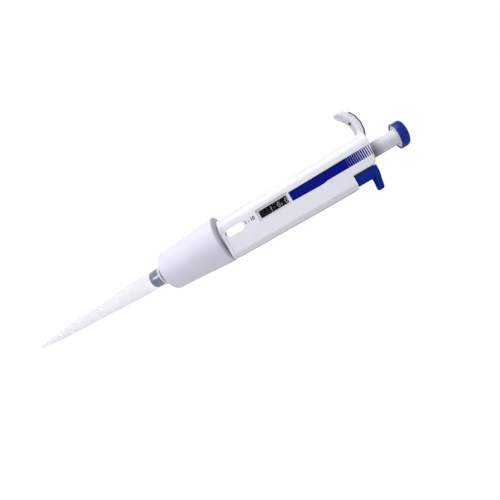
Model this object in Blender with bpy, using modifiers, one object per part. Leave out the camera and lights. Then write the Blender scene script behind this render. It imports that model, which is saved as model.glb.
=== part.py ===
# Single-channel adjustable micropipette for 1 to 10 ml, with its disposable tip fitted.
#
# The long axis is Z, with the tip down and the push button up. The origin is on that axis,
# half way up the handle. The counter window faces -Y, the finger hook points to -X and the
# tip ejector's thumb lever to +X. All sizes are in metres.

import math

import bmesh
import bpy
from mathutils import Matrix, Vector

# Clearances
SEAT = 0.0003
RUNNING = 0.0003
PART_LINE = 0.0002

# Faces round the turned pieces
ROUND_STEPS = 32
INNER_STEPS = 20
SMALL_STEPS = 16
COIL_POINTS = 8

# Handle
HANDLE_LENGTH = 0.1225
HANDLE_HOOK_SIDE = 0.0142
HANDLE_LEVER_SIDE = 0.0190
HANDLE_DEPTH = 0.0260
HOOK_SIDE_CORNER = 0.0100
LEVER_SIDE_CORNER = 0.0040
HANDLE_WALL = 0.0015
BASE_HEIGHT = 0.0026
BASE_SPIGOT = 0.0022
HOUSING_HEIGHT = 0.0209
HOUSING_ROOF = 0.0080
HOUSING_SPIGOT = 0.0038
SPIGOT_WALL = 0.0013
SPIGOT_LEDGE = 0.0014
EDGE_ROUNDING = 0.0010
ROOF_FALL = 0.0031
ROOF_BREAK = 0.0055
SCREW_LEFT = -0.0060
SCREW_RIGHT = 0.0050
BUSH_RADIUS = 0.0076
BUSH_LENGTH = 0.0050
BUSH_BELOW_TOP = 0.0052

# Finger hook
HOOK_REACH = 0.0350
HOOK_WIDTH = 0.0150
HOOK_THICKNESS = 0.0058
HOOK_RISE = 0.0016
HOOK_DROP = 0.0122
STRIP_MARGIN = 0.0009
STRIP_DEPTH = 0.0009
STRIP_PROUD = 0.0008

# Counter
WINDOW_WIDTH = 0.0057
WHEEL_COUNT = 4
WHEEL_PITCH = 0.00575
WHEEL_CLEARANCE = 0.0015
WINDOW_TO_BASE = 0.0330
LENS_MARGIN = 0.0017
LENS_THICKNESS = 0.0009
COUNTER_PLATE = 0.0024
PINION_TEETH = 8
PINION_RADIUS = 0.0020
PINION_ROOT = 0.0013
PINION_HEIGHT = 0.0050
PINION_SHAFT = 0.0007

# Front inlays
PLATE_WIDTH = 0.0062
PLATE_HEIGHT = 0.0153
PLATE_TO_BASE = 0.0041
PANEL_WIDTH = 0.0067
PANEL_FLARE = 0.0006
PANEL_TO_WINDOW = 0.0026
INLAY_DEPTH = 0.0009
SLOT_COUNT = 12
SLOT_PITCH = 0.00155
SLOT_WIDTH = 0.0070
SLOT_TALL = 0.00122
SLOT_LOW = 0.00036

# Plunger
TRAVEL = 0.01575
PLUNGER_RADIUS = 0.0054
ROD_RADIUS = 0.0025
BUTTON_RADIUS = 0.0093
BUTTON_HEIGHT = 0.0064
BUTTON_LIFT = 0.0166
BUTTON_WALL = 0.0010
SHAFT_WALL = 0.0008
SHAFT_BELOW_SPIGOT = 0.0082
BEARING_HEIGHT = 0.0026
ROD_REACH = 0.0315
NUT_HEIGHT = 0.0070
NUT_RADIUS = 0.0095
THREAD_LEAD = 0.0015
VOLUME_TURNS = 9

# Liquid end
BORE_RADIUS = 0.0145
CYLINDER_WALL = 0.0011
PISTON_HEIGHT = 0.0050
BOSS_RADIUS = 0.0090
BOSS_CONE = 0.0085
NECK_NUT_WALL = 0.0009
NECK_NUT_HEIGHT = 0.0040
NECK_WALL = 0.0017
STOP_STEP = 0.0013
FLANGE_RADIUS = 0.0110
FLANGE_HEIGHT = 0.0018
NOZZLE_RADIUS = 0.0074
NOZZLE_BELOW_SLEEVE = 0.0140
OUTLET_RADIUS = 0.0018
SPRING_WIRE = 0.0006
SPRING_TURNS = 7
BLOW_OUT_WIRE = 0.00055
BLOW_OUT_TURNS = 2

# Ejector
EJECT_TRAVEL = 0.0080
SLEEVE_GAP = 0.0026
SLEEVE_LENGTH = 0.0575
SLEEVE_TOP_RADIUS = 0.01945
SLEEVE_FOOT_RADIUS = 0.0168
SLEEVE_WALL = 0.0014
SLEEVE_DECK = 0.0024
SLEEVE_CORNER = 0.0034
EJECTOR_ROD_X = 0.0143
EJECTOR_ROD_RADIUS = 0.0016
BUTTON_BLOCK_X = 0.0100
LEVER_REACH = 0.0267
LEVER_THICKNESS = 0.0036
LEVER_WIDTH = 0.0140
LEVER_DROP = 0.0024
LEVER_BELOW_TOP = 0.0040
POCKET_DEPTH = 0.0036
EJECTOR_WIRE = 0.0004
EJECTOR_COIL_RADIUS = 0.0022
EJECTOR_TURNS = 7
GUIDE_ABOVE_COUNTER = 0.0172
GUIDE_HEIGHT = 0.0020
GUIDE_LEDGE = 0.0031

# Tip
TIP_LENGTH = 0.1548
TIP_WALL = 0.0008
TIP_COLLAR_RADIUS = 0.0087
TIP_END_RADIUS = 0.0011

# Heights along the axis, worked out from the sizes above
HANDLE_TOP = HANDLE_LENGTH / 2
HANDLE_BOTTOM = -HANDLE_LENGTH / 2
BODY_BOTTOM = HANDLE_BOTTOM + BASE_HEIGHT + PART_LINE
BODY_TOP = HANDLE_TOP - HOUSING_HEIGHT - PART_LINE
HOUSING_BOTTOM = HANDLE_TOP - HOUSING_HEIGHT
INNER_X_LOW = -HANDLE_HOOK_SIDE + HANDLE_WALL
INNER_X_HIGH = HANDLE_LEVER_SIDE - HANDLE_WALL
INNER_Y = HANDLE_DEPTH / 2 - HANDLE_WALL
INNER_HOOK_CORNER = HOOK_SIDE_CORNER - HANDLE_WALL
INNER_LEVER_CORNER = LEVER_SIDE_CORNER - HANDLE_WALL
FRONT = -HANDLE_DEPTH / 2
BACKING_FRONT = FRONT + HANDLE_WALL + SEAT
BACKING_HALF = SLOT_WIDTH / 2 + 0.0008
BACKING_TOP = HANDLE_TOP - ROOF_FALL - 0.0012
BUSH_TOP = HANDLE_TOP - BUSH_BELOW_TOP
BUSH_BOTTOM = BUSH_TOP - BUSH_LENGTH
STRIP_WIDTH = HOOK_WIDTH - 2 * STRIP_MARGIN
SCREW_HEIGHT = HOUSING_BOTTOM - HOUSING_SPIGOT / 2

WINDOW_BOTTOM = HANDLE_BOTTOM + WINDOW_TO_BASE
WINDOW_TOP = WINDOW_BOTTOM + WHEEL_COUNT * WHEEL_PITCH
PANEL_BOTTOM = WINDOW_TOP + PANEL_TO_WINDOW
PANEL_TOP = BODY_TOP - SEAT
SHAFT_BORE = PLUNGER_RADIUS + RUNNING
SHAFT_RADIUS = SHAFT_BORE + SHAFT_WALL
SHAFT_BOTTOM = WINDOW_BOTTOM + SEAT
SHAFT_TOP = HOUSING_BOTTOM - HOUSING_SPIGOT - SHAFT_BELOW_SPIGOT
WHEEL_BORE = SHAFT_RADIUS + RUNNING
WHEEL_RADIUS = INNER_Y - WHEEL_CLEARANCE
PINION_X = WHEEL_RADIUS * 0.96
PINION_Y = WHEEL_RADIUS * 0.80
GUIDE_BOTTOM = WINDOW_TOP + GUIDE_ABOVE_COUNTER
GUIDE_TOP = GUIDE_BOTTOM + GUIDE_HEIGHT

COUNTER_FLOOR = WINDOW_BOTTOM - SEAT - COUNTER_PLATE
HEAD_TOP = COUNTER_FLOOR - 0.0015
DECK_TOP = HANDLE_BOTTOM - SLEEVE_GAP
SLEEVE_BOTTOM = DECK_TOP - SLEEVE_LENGTH
ROD_NUT_HEIGHT = 0.0018
CHAMBER_TOP = DECK_TOP - SLEEVE_DECK - SEAT - ROD_NUT_HEIGHT - EJECT_TRAVEL - 2 * SEAT
HEAD_FLOOR = 0.0015
HEAD_RIM = 0.0015
PISTON_TOP = CHAMBER_TOP - HEAD_RIM - SEAT
PISTON_BOTTOM = PISTON_TOP - PISTON_HEIGHT
CHAMBER_FLOOR = PISTON_BOTTOM - TRAVEL - SEAT
CYLINDER_RADIUS = BORE_RADIUS + CYLINDER_WALL
NECK_RADIUS = INNER_Y - SEAT - NECK_NUT_WALL - SEAT
NECK_BORE = NECK_RADIUS - NECK_WALL
SPRING_BORE = NECK_BORE - STOP_STEP
SPRING_COIL_RADIUS = SPRING_BORE - SPRING_WIRE - 0.0011
SLEEVE_FLOOR = SLEEVE_BOTTOM + 0.0022
NOZZLE_BOTTOM = SLEEVE_BOTTOM - NOZZLE_BELOW_SLEEVE
TIP_TOP = SLEEVE_BOTTOM - SEAT
TIP_BOTTOM = TIP_TOP - TIP_LENGTH

WASHER_TOP = HEAD_TOP - SEAT
WASHER_HEIGHT = 0.0012
BLOW_OUT_HEIGHT = 0.0048
COLLAR_HEIGHT = 0.0030
COLLAR_TOP = WASHER_TOP - WASHER_HEIGHT - BLOW_OUT_HEIGHT
COLLAR_BOTTOM = COLLAR_TOP - COLLAR_HEIGHT
STOP_TOP = COLLAR_BOTTOM - TRAVEL - SEAT
STOP_HEIGHT = 0.0020
SPRING_SEAT = CHAMBER_TOP + HEAD_FLOOR

BUTTON_BOTTOM = HANDLE_TOP + BUTTON_LIFT
BUTTON_TOP = BUTTON_BOTTOM + BUTTON_HEIGHT
POCKET_BOTTOM = HOUSING_BOTTOM - POCKET_DEPTH
LEVER_TOP = HANDLE_TOP - LEVER_BELOW_TOP


# Start from an empty scene
for old_object in list(bpy.data.objects):
    bpy.data.objects.remove(old_object, do_unlink=True)

PARTS = bpy.data.collections.new("micropipette")
CUTTERS = bpy.data.collections.new("cutters")
bpy.context.scene.collection.children.link(PARTS)
bpy.context.scene.collection.children.link(CUTTERS)


def finish(name, colour, roughness, metallic=0.0):
    """A Principled material for one sub-part."""
    material = bpy.data.materials.new(name)
    material.use_nodes = True
    shader = material.node_tree.nodes["Principled BSDF"]
    shader.inputs["Base Color"].default_value = (*colour, 1.0)
    shader.inputs["Roughness"].default_value = roughness
    shader.inputs["Metallic"].default_value = metallic
    material.diffuse_color = (*colour, 1.0)
    return material


def joint_empty(name, x=0.0, y=0.0, z=0.0):
    """An empty on a joint's axis, which carries the pieces that move with it."""
    empty = bpy.data.objects.new(name, None)
    empty.location = (x, y, z)
    PARTS.objects.link(empty)
    return empty


def settle(obj, material, parent=None):
    """Name, colour, smooth shading and parent of a finished mesh object."""
    obj.data.name = obj.name
    obj.data.materials.clear()
    obj.data.materials.append(material)
    obj.data.shade_smooth()
    obj.data.set_sharp_from_angle(angle=math.radians(32))
    if parent is not None:
        obj.parent = parent
        obj.matrix_parent_inverse = Matrix.Translation(-parent.location)
    return obj


def as_mesh(source, collection):
    """Turn a curve or a modified object into a plain welded mesh of the same name."""
    depsgraph = bpy.context.evaluated_depsgraph_get()
    mesh = bpy.data.meshes.new_from_object(source.evaluated_get(depsgraph))
    work = bmesh.new()
    work.from_mesh(mesh)
    bmesh.ops.remove_doubles(work, verts=work.verts, dist=1e-6)
    bmesh.ops.recalc_face_normals(work, faces=work.faces)
    work.to_mesh(mesh)
    work.free()
    name = source.name
    place = source.matrix_world.copy()
    bpy.data.objects.remove(source, do_unlink=True)
    obj = bpy.data.objects.new(name, mesh)
    obj.matrix_world = place
    collection.objects.link(obj)
    return obj


def turned_mesh(name, profile, steps, x, y, collection):
    """Revolve a profile of (radius, height) points, listed down the outer side, about Z."""
    mesh = bpy.data.meshes.new(name)
    points = [(radius, 0.0, height) for radius, height in profile]
    edges = [(index, index + 1) for index in range(len(points) - 1)]
    if profile[0][0] > 0.0 or profile[-1][0] > 0.0:
        edges.append((len(points) - 1, 0))
    mesh.from_pydata(points, edges, [])
    obj = bpy.data.objects.new(name, mesh)
    obj.location = (x, y, 0.0)
    collection.objects.link(obj)
    screw = obj.modifiers.new("revolve", "SCREW")
    screw.axis = "Z"
    screw.angle = 2 * math.pi
    screw.steps = steps
    screw.render_steps = steps
    screw.use_merge_vertices = True
    screw.merge_threshold = 1e-5
    bpy.context.view_layer.update()
    return as_mesh(obj, collection)


def turned(name, profile, material, steps=INNER_STEPS, x=0.0, y=0.0, parent=None):
    return settle(turned_mesh(name, profile, steps, x, y, PARTS), material, parent)


def ring(name, inner, outer, bottom, top, material, steps=INNER_STEPS, x=0.0, parent=None):
    """A plain turned ring or tube."""
    profile = [(outer, top), (outer, bottom), (inner, bottom), (inner, top)]
    return turned(name, profile, material, steps, x, 0.0, parent)


def flat_outline(name, points, thickness, collection):
    """A closed outline in the XY plane, as a filled curve with a thickness along Z."""
    curve = bpy.data.curves.new(name, "CURVE")
    curve.dimensions = "2D"
    curve.fill_mode = "BOTH"
    curve.extrude = thickness / 2
    spline = curve.splines.new("POLY")
    spline.points.add(len(points) - 1)
    for spline_point, (u, v) in zip(spline.points, points):
        spline_point.co = (u, v, 0.0, 1.0)
    spline.use_cyclic_u = True
    obj = bpy.data.objects.new(name, curve)
    collection.objects.link(obj)
    return obj


def arc(centre_u, centre_v, radius, start, end, steps):
    """Points on an arc, with its angles in degrees."""
    angles = [math.radians(start + (end - start) * k / steps) for k in range(steps + 1)]
    return [(centre_u + radius * math.cos(a), centre_v + radius * math.sin(a)) for a in angles]


def rounded_rectangle(low_u, high_u, low_v, high_v, low_radius, high_radius, steps=4):
    """A rectangle with one corner radius at its low u side and another at its high u side."""
    corners = [
        (high_u - high_radius, low_v + high_radius, high_radius, -90),
        (high_u - high_radius, high_v - high_radius, high_radius, 0),
        (low_u + low_radius, high_v - low_radius, low_radius, 90),
        (low_u + low_radius, low_v + low_radius, low_radius, 180),
    ]
    points = []
    for centre_u, centre_v, radius, start in corners:
        points += arc(centre_u, centre_v, radius, start, start + 90, steps)
    return points


def rounded_on_hook_side(low_u, high_u, low_v, high_v, radius, steps=4):
    """A rectangle with its two corners toward the finger hook rounded."""
    points = [(high_u, low_v), (high_u, high_v)]
    points += arc(low_u + radius, high_v - radius, radius, 90, 180, steps)
    points += arc(low_u + radius, low_v + radius, radius, 180, 270, steps)
    return points


def rounded_on_lever_side(low_u, high_u, low_v, high_v, radius, steps=4):
    """A rectangle with its two corners toward the ejector lever rounded."""
    points = [(low_u, low_v)]
    points += arc(high_u - radius, low_v + radius, radius, -90, 0, steps)
    points += arc(high_u - radius, high_v - radius, radius, 0, 90, steps)
    points.append((low_u, high_v))
    return points


def upright_prism(name, points, bottom, top, collection):
    """An outline seen from above, raised from one height to another."""
    outline = flat_outline(name, points, top - bottom, collection)
    outline.location = (0.0, 0.0, (bottom + top) / 2)
    bpy.context.view_layer.update()
    return as_mesh(outline, collection)


def side_prism(name, points, front, back, collection):
    """An outline of (x, z) points seen from the front, between two depths."""
    outline = flat_outline(name, points, back - front, collection)
    outline.location = (0.0, (front + back) / 2, 0.0)
    outline.rotation_euler = (math.radians(90), 0.0, 0.0)
    bpy.context.view_layer.update()
    return as_mesh(outline, collection)


def box(name, low, high, collection):
    bpy.ops.mesh.primitive_cube_add(size=1.0)
    obj = bpy.context.object
    obj.name = name
    size = Vector(high) - Vector(low)
    centre = (Vector(high) + Vector(low)) / 2
    obj.data.transform(Matrix.Translation(centre) @ Matrix.Diagonal((*size, 1.0)))
    for holder in list(obj.users_collection):
        holder.objects.unlink(obj)
    collection.objects.link(obj)
    return obj


def rod_cutter(name, radius, bottom, top, x=0.0, y=0.0, steps=INNER_STEPS):
    profile = [(0.0, top), (radius, top), (radius, bottom), (0.0, bottom)]
    return turned_mesh(name, profile, steps, x, y, CUTTERS)


def boolean(target, tool, operation):
    tool.hide_render = True
    tool.display_type = "WIRE"
    modifier = target.modifiers.new(tool.name, "BOOLEAN")
    modifier.operation = operation
    modifier.object = tool
    modifier.solver = "EXACT"


def cut(target, *tools):
    for tool in tools:
        boolean(target, tool, "DIFFERENCE")


def add(target, *tools):
    for tool in tools:
        boolean(target, tool, "UNION")


def soften(target, width, segments=2, angle=40):
    """Round the outer edges of a prism before anything is cut from it."""
    bevel = target.modifiers.new("soften", "BEVEL")
    bevel.width = width
    bevel.segments = segments
    bevel.limit_method = "ANGLE"
    bevel.angle_limit = math.radians(angle)


def coil(name, radius, wire, bottom, top, turns, material, x=0.0, parent=None):
    """A round-wire compression spring that stands on its lowest turn."""
    count = turns * COIL_POINTS
    curve = bpy.data.curves.new(name, "CURVE")
    curve.dimensions = "3D"
    curve.bevel_depth = wire
    curve.bevel_resolution = 2
    curve.use_fill_caps = True
    spline = curve.splines.new("POLY")
    spline.points.add(count)
    for index in range(count + 1):
        angle = 2 * math.pi * index / COIL_POINTS
        height = bottom + wire + (top - bottom - 2 * wire) * index / count
        spline.points[index].co = (radius * math.cos(angle), radius * math.sin(angle), height, 1.0)
    obj = bpy.data.objects.new(name, curve)
    obj.location = (x, 0.0, 0.0)
    PARTS.objects.link(obj)
    bpy.context.view_layer.update()
    return settle(as_mesh(obj, PARTS), material, parent)


WHITE_SHELL = finish("white_shell", (0.86, 0.87, 0.90), 0.22)
WHITE_MATTE = finish("white_matte", (0.80, 0.81, 0.85), 0.55)
BLUE = finish("blue_plastic", (0.012, 0.025, 0.26), 0.35)
LEVER_BLUE = finish("lever_blue", (0.015, 0.035, 0.30), 0.38)
STRIP_GREY = finish("strip_grey", (0.06, 0.06, 0.10), 0.6)
CLEAR = finish("clear_lens", (0.75, 0.78, 0.82), 0.08)
TIP_PLASTIC = finish("tip_plastic", (0.84, 0.84, 0.90), 0.30)
STEEL = finish("steel", (0.55, 0.56, 0.60), 0.18, 1.0)
SPRING_STEEL = finish("spring_steel", (0.45, 0.46, 0.48), 0.3, 1.0)
INNER_PLASTIC = finish("inner_plastic", (0.62, 0.63, 0.66), 0.5)
WHEEL_BLACK = finish("wheel_black", (0.01, 0.01, 0.012), 0.45)
RUBBER = finish("rubber", (0.03, 0.03, 0.035), 0.75)
FILTER = finish("filter", (0.85, 0.85, 0.82), 0.9)


def handle_outline(inset=0.0):
    return rounded_rectangle(
        -HANDLE_HOOK_SIDE + inset,
        HANDLE_LEVER_SIDE - inset,
        -HANDLE_DEPTH / 2 + inset,
        HANDLE_DEPTH / 2 - inset,
        HOOK_SIDE_CORNER - inset,
        LEVER_SIDE_CORNER - inset,
    )


def stadium(width, bottom, top, steps=8):
    """An upright outline with round ends."""
    radius = width / 2
    points = arc(0.0, bottom + radius, radius, 180, 360, steps)
    points += arc(0.0, top - radius, radius, 0, 180, steps)
    return points


def panel_outline(grow=0.0):
    """The long blue inlay, which flares on the lever side and steps back in."""
    half = PANEL_WIDTH / 2
    step = PANEL_BOTTOM + 0.56 * (PANEL_TOP - PANEL_BOTTOM)
    return [
        (-half - grow, PANEL_BOTTOM - grow),
        (half + grow, PANEL_BOTTOM - grow),
        (half + PANEL_FLARE + grow, step - 0.0035),
        (half + PANEL_FLARE + grow, step),
        (half + grow, step + 0.0035),
        (half + grow, PANEL_TOP + grow),
        (-half + PANEL_FLARE - grow, PANEL_TOP + grow),
    ]


def lens_outline(grow=0.0):
    return rounded_rectangle(
        -WINDOW_WIDTH / 2 - LENS_MARGIN - grow,
        WINDOW_WIDTH / 2 + LENS_MARGIN + grow,
        WINDOW_BOTTOM - LENS_MARGIN - grow,
        WINDOW_TOP + LENS_MARGIN * 0.8 + grow,
        0.0008 + grow,
        0.0008 + grow,
        3,
    )


# The base cap closes the handle's lower end and carries the cylinder's neck.
def base_cap():
    cap = upright_prism("base_cap", handle_outline(), HANDLE_BOTTOM, HANDLE_BOTTOM + BASE_HEIGHT, PARTS)
    spigot = upright_prism(
        "base_spigot", handle_outline(HANDLE_WALL + SEAT), HANDLE_BOTTOM + BASE_HEIGHT / 2,
        BODY_BOTTOM + BASE_SPIGOT, CUTTERS,
    )
    soften(cap, 0.0006)
    add(cap, spigot)
    cut(cap, rod_cutter("base_neck_hole", NECK_RADIUS + SEAT, HANDLE_BOTTOM - 0.005, BODY_BOTTOM + 0.005))
    cut(cap, rod_cutter("base_rod_hole", EJECTOR_ROD_RADIUS + RUNNING, HANDLE_BOTTOM - 0.005,
                        BODY_BOTTOM + 0.005, EJECTOR_ROD_X, 0.0, SMALL_STEPS))
    settle(cap, WHITE_SHELL)


# The handle body is one moulded tube, with recesses for the three front inlays.
def handle_body():
    body = upright_prism("handle_body", handle_outline(), BODY_BOTTOM, BODY_TOP, PARTS)
    hollow = upright_prism("body_hollow", handle_outline(HANDLE_WALL), BODY_BOTTOM - 0.005,
                           BODY_TOP + 0.005, CUTTERS)
    soften(body, 0.0003, 1, 60)
    cut(body, hollow)
    back = FRONT + INLAY_DEPTH + SEAT
    plate = stadium(PLATE_WIDTH + 2 * SEAT, HANDLE_BOTTOM + PLATE_TO_BASE - SEAT,
                    HANDLE_BOTTOM + PLATE_TO_BASE + PLATE_HEIGHT + SEAT)
    cut(body, side_prism("plate_recess", plate, FRONT - 0.005, back, CUTTERS))
    lens_back = FRONT + LENS_THICKNESS + SEAT
    cut(body, side_prism("lens_recess", lens_outline(SEAT), FRONT - 0.005, lens_back, CUTTERS))
    cut(body, side_prism("panel_recess", panel_outline(SEAT), FRONT - 0.005, back, CUTTERS))
    cut(body, box("window_hole", (-WINDOW_WIDTH / 2, FRONT - 0.005, WINDOW_BOTTOM),
                  (WINDOW_WIDTH / 2, FRONT + HANDLE_WALL + 0.001, WINDOW_TOP), CUTTERS))
    cut(body, back_hole("screw_hole_left", 0.0018, SCREW_LEFT))
    cut(body, back_hole("screw_hole_right", 0.0018, SCREW_RIGHT))
    settle(body, WHITE_SHELL)


def back_hole(name, radius, x):
    """A level hole through the handle's rear wall, at the height of the housing's screws."""
    hole = rod_cutter(name, radius, -0.005, 0.005, 0.0, 0.0, SMALL_STEPS)
    hole.matrix_world = (Matrix.Translation((x, HANDLE_DEPTH / 2, SCREW_HEIGHT))
                         @ Matrix.Rotation(math.radians(90), 4, "X"))
    return hole


def hook_line():
    """The hook's middle line, from its root in the housing over and down to its tip."""
    top = HANDLE_TOP + HOOK_RISE - HOOK_THICKNESS / 2
    tip_z = HANDLE_TOP - HOOK_DROP + HOOK_THICKNESS / 4
    return [
        (-0.0096, top - 0.0034),
        (-0.0117, top - 0.0016),
        (-0.0155, top - 0.0004),
        (-0.0205, top - 0.0001),
        (-0.0250, top - 0.0009),
        (-0.0288, top - 0.0030),
        (-0.0319, top - 0.0064),
        (-HOOK_REACH + 0.0012, tip_z),
    ]


def hook_outline():
    """Both sides of the hook round its middle line, thinner toward the tip."""
    line = hook_line()
    upper = []
    lower = []
    for index, (x, z) in enumerate(line):
        before = Vector(line[max(index - 1, 0)])
        after = Vector(line[min(index + 1, len(line) - 1)])
        along = (after - before).normalized()
        across = Vector((along.y, -along.x))
        half = HOOK_THICKNESS / 2 * (1.0 - 0.72 * (index / (len(line) - 1)) ** 1.6)
        upper.append((x + across.x * half, z + across.y * half))
        lower.append((x - across.x * half, z - across.y * half))
    return upper + lower[::-1]


# The top housing carries the finger hook, the grip slots and the plunger's upper guide.
def top_housing():
    divide = BUTTON_BLOCK_X - SEAT
    housing = upright_prism("top_housing", handle_outline(), HOUSING_BOTTOM, HANDLE_TOP, PARTS)
    cut(housing, side_prism("above_roof", roof_outline(), -0.05, 0.05, CUTTERS))
    soften(housing, EDGE_ROUNDING, 2)
    hollow_points = rounded_on_hook_side(INNER_X_LOW, divide - HANDLE_WALL, -INNER_Y, INNER_Y,
                                         INNER_HOOK_CORNER)
    hollow = upright_prism("housing_hollow", hollow_points, HOUSING_BOTTOM + SPIGOT_LEDGE,
                           HANDLE_TOP - HOUSING_ROOF, CUTTERS)
    cut(housing, hollow)
    spigot_points = rounded_on_hook_side(INNER_X_LOW + SEAT, divide + 0.002, -INNER_Y + SEAT, INNER_Y - SEAT,
                                         INNER_HOOK_CORNER - SEAT)
    spigot = upright_prism("housing_spigot", spigot_points, HOUSING_BOTTOM - HOUSING_SPIGOT,
                           HOUSING_BOTTOM + SPIGOT_LEDGE / 2, CUTTERS)
    core_points = rounded_on_hook_side(INNER_X_LOW + SEAT + SPIGOT_WALL, divide - SPIGOT_WALL,
                                       -INNER_Y + SEAT + SPIGOT_WALL, INNER_Y - SEAT - SPIGOT_WALL,
                                       INNER_HOOK_CORNER - SEAT - SPIGOT_WALL)
    core = upright_prism("spigot_core", core_points, HOUSING_BOTTOM - HOUSING_SPIGOT - 0.005,
                         HOUSING_BOTTOM + 0.005, CUTTERS)
    add(housing, spigot)
    cut(housing, core)
    cut(housing, box("lever_side_cut", (divide, -0.05, HOUSING_BOTTOM - 0.01),
                     (0.05, 0.05, HANDLE_TOP + 0.01), CUTTERS))
    hook = side_prism("hook_shape", hook_outline(), -HOOK_WIDTH / 2, HOOK_WIDTH / 2, CUTTERS)
    soften(hook, 0.0012, 2, 50)
    add(housing, hook)
    strip = side_prism("strip_recess", strip_outline(SEAT), -STRIP_WIDTH / 2 - SEAT, STRIP_WIDTH / 2 + SEAT,
                       CUTTERS)
    cut(housing, strip)
    for index in range(SLOT_COUNT):
        tall = slot_height(index)
        middle = slot_middle(index)
        slot = box(f"grip_slot_{index + 1}", (-SLOT_WIDTH / 2, FRONT - 0.005, middle - tall / 2),
                   (SLOT_WIDTH / 2, FRONT + HANDLE_WALL + 0.0004, middle + tall / 2), CUTTERS)
        cut(housing, slot)
    cut(housing, box("backing_notch", (-BACKING_HALF - SEAT, BACKING_FRONT - SEAT, HOUSING_BOTTOM - 0.0002),
                     (BACKING_HALF + SEAT, BACKING_FRONT + 0.0032, HOUSING_BOTTOM + 0.0050), CUTTERS))
    pocket_low = (-BACKING_HALF - SEAT, BACKING_FRONT - 0.0002, HOUSING_BOTTOM + 0.0100)
    pocket_high = (BACKING_HALF + SEAT, BACKING_FRONT + 0.0012 + SEAT, BACKING_TOP + SEAT)
    cut(housing, box("backing_pocket", pocket_low, pocket_high, CUTTERS))
    bore_profile = [
        (0.0, HANDLE_TOP + 0.005),
        (PLUNGER_RADIUS + 2 * RUNNING, HANDLE_TOP + 0.005),
        (PLUNGER_RADIUS + 2 * RUNNING, BUSH_TOP + SEAT),
        (BUSH_RADIUS + SEAT, BUSH_TOP + SEAT),
        (BUSH_RADIUS + SEAT, BUSH_BOTTOM - 0.005),
        (0.0, BUSH_BOTTOM - 0.005),
    ]
    cut(housing, turned_mesh("bush_bore", bore_profile, INNER_STEPS, 0.0, 0.0, CUTTERS))
    cut(housing, back_hole("spigot_hole_left", 0.0012, SCREW_LEFT),
        back_hole("spigot_hole_right", 0.0012, SCREW_RIGHT))
    settle(housing, WHITE_SHELL)


def roof_outline():
    """What is cut away above the roof, which falls toward the lever and steeper beside it."""
    return [
        (-0.0160, HANDLE_TOP - ROOF_FALL * 0.25),
        (ROOF_BREAK, HANDLE_TOP - ROOF_FALL),
        (ROOF_BREAK + 0.0065, HANDLE_TOP - 2 * ROOF_FALL),
        (ROOF_BREAK + 0.0065, HANDLE_TOP + 0.0030),
        (-0.0160, HANDLE_TOP + 0.0030),
    ]


def slot_height(index):
    """Slots grow lower toward the top, so the blue fades out into the white."""
    share = index / (SLOT_COUNT - 1)
    return SLOT_TALL + (SLOT_LOW - SLOT_TALL) * share


def slot_middle(index):
    return HOUSING_BOTTOM + SLOT_PITCH * (index + 0.45)


def strip_outline(grow=0.0):
    """The inlay that follows the hook's upper side, as a band of even depth."""
    line = hook_outline()[1:6]
    line[0] = tuple(Vector(line[0]).lerp(Vector(line[1]), 0.2))
    line[-1] = tuple((Vector(line[-2]) + Vector(line[-1])) / 2)
    lower = []
    upper = []
    for index, (x, z) in enumerate(line):
        before = Vector(line[max(index - 1, 0)])
        after = Vector(line[min(index + 1, len(line) - 1)])
        along = (after - before).normalized()
        across = Vector((along.y, -along.x))
        lower.append((x - across.x * (STRIP_DEPTH + grow), z - across.y * (STRIP_DEPTH + grow)))
        rise = 0.004 if grow else STRIP_PROUD
        upper.append((x + across.x * rise, z + across.y * rise))
    return upper + lower[::-1]


def inlays():
    plate = side_prism("blank_plate", stadium(PLATE_WIDTH, HANDLE_BOTTOM + PLATE_TO_BASE,
                       HANDLE_BOTTOM + PLATE_TO_BASE + PLATE_HEIGHT), FRONT, FRONT + INLAY_DEPTH, PARTS)
    settle(plate, WHITE_SHELL)
    lens = side_prism("counter_lens", lens_outline(), FRONT, FRONT + LENS_THICKNESS, PARTS)
    settle(lens, CLEAR)
    panel = side_prism("front_panel", panel_outline(), FRONT, FRONT + INLAY_DEPTH, PARTS)
    settle(panel, BLUE)
    strip = side_prism("hook_strip", strip_outline(), -STRIP_WIDTH / 2, STRIP_WIDTH / 2, PARTS)
    settle(strip, STRIP_GREY)
    backing = box("grip_backing", (-BACKING_HALF, BACKING_FRONT, HOUSING_BOTTOM + SLOT_PITCH * 0.2),
                  (BACKING_HALF, BACKING_FRONT + 0.0012, BACKING_TOP), PARTS)
    settle(backing, BLUE)


# The counter: two plates carry the wheels and the shaft of the transfer pinions.
def counter_plate(name, bottom):
    points = rounded_on_hook_side(INNER_X_LOW + SEAT, EJECTOR_ROD_X - EJECTOR_ROD_RADIUS - 0.0008,
                                  -INNER_Y + SEAT, INNER_Y - SEAT, INNER_HOOK_CORNER - SEAT)
    plate = upright_prism(name, points, bottom, bottom + COUNTER_PLATE, PARTS)
    cut(plate, rod_cutter(name + "_bore", WHEEL_BORE, bottom - 0.005, bottom + 0.01))
    cut(plate, rod_cutter(name + "_pinion_hole", PINION_SHAFT + SEAT, bottom - 0.005, bottom + 0.01,
                          PINION_X, PINION_Y, SMALL_STEPS))
    settle(plate, INNER_PLASTIC)


def counter_wheel(name, index, bore, parent=None):
    """A number wheel with a shallow rim at each end, which keeps the printed band clear."""
    bottom = WINDOW_BOTTOM + index * WHEEL_PITCH + SEAT
    top = bottom + WHEEL_PITCH - 2 * SEAT
    rim = 0.0004
    profile = [
        (bore + 0.0004, top),
        (WHEEL_RADIUS - rim, top),
        (WHEEL_RADIUS, top - rim),
        (WHEEL_RADIUS, bottom + rim),
        (WHEEL_RADIUS - rim, bottom),
        (bore + 0.0004, bottom),
        (bore, bottom + 0.0004),
        (bore, top - 0.0004),
    ]
    turned(name, profile, WHEEL_BLACK, INNER_STEPS, 0.0, 0.0, parent)


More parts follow.
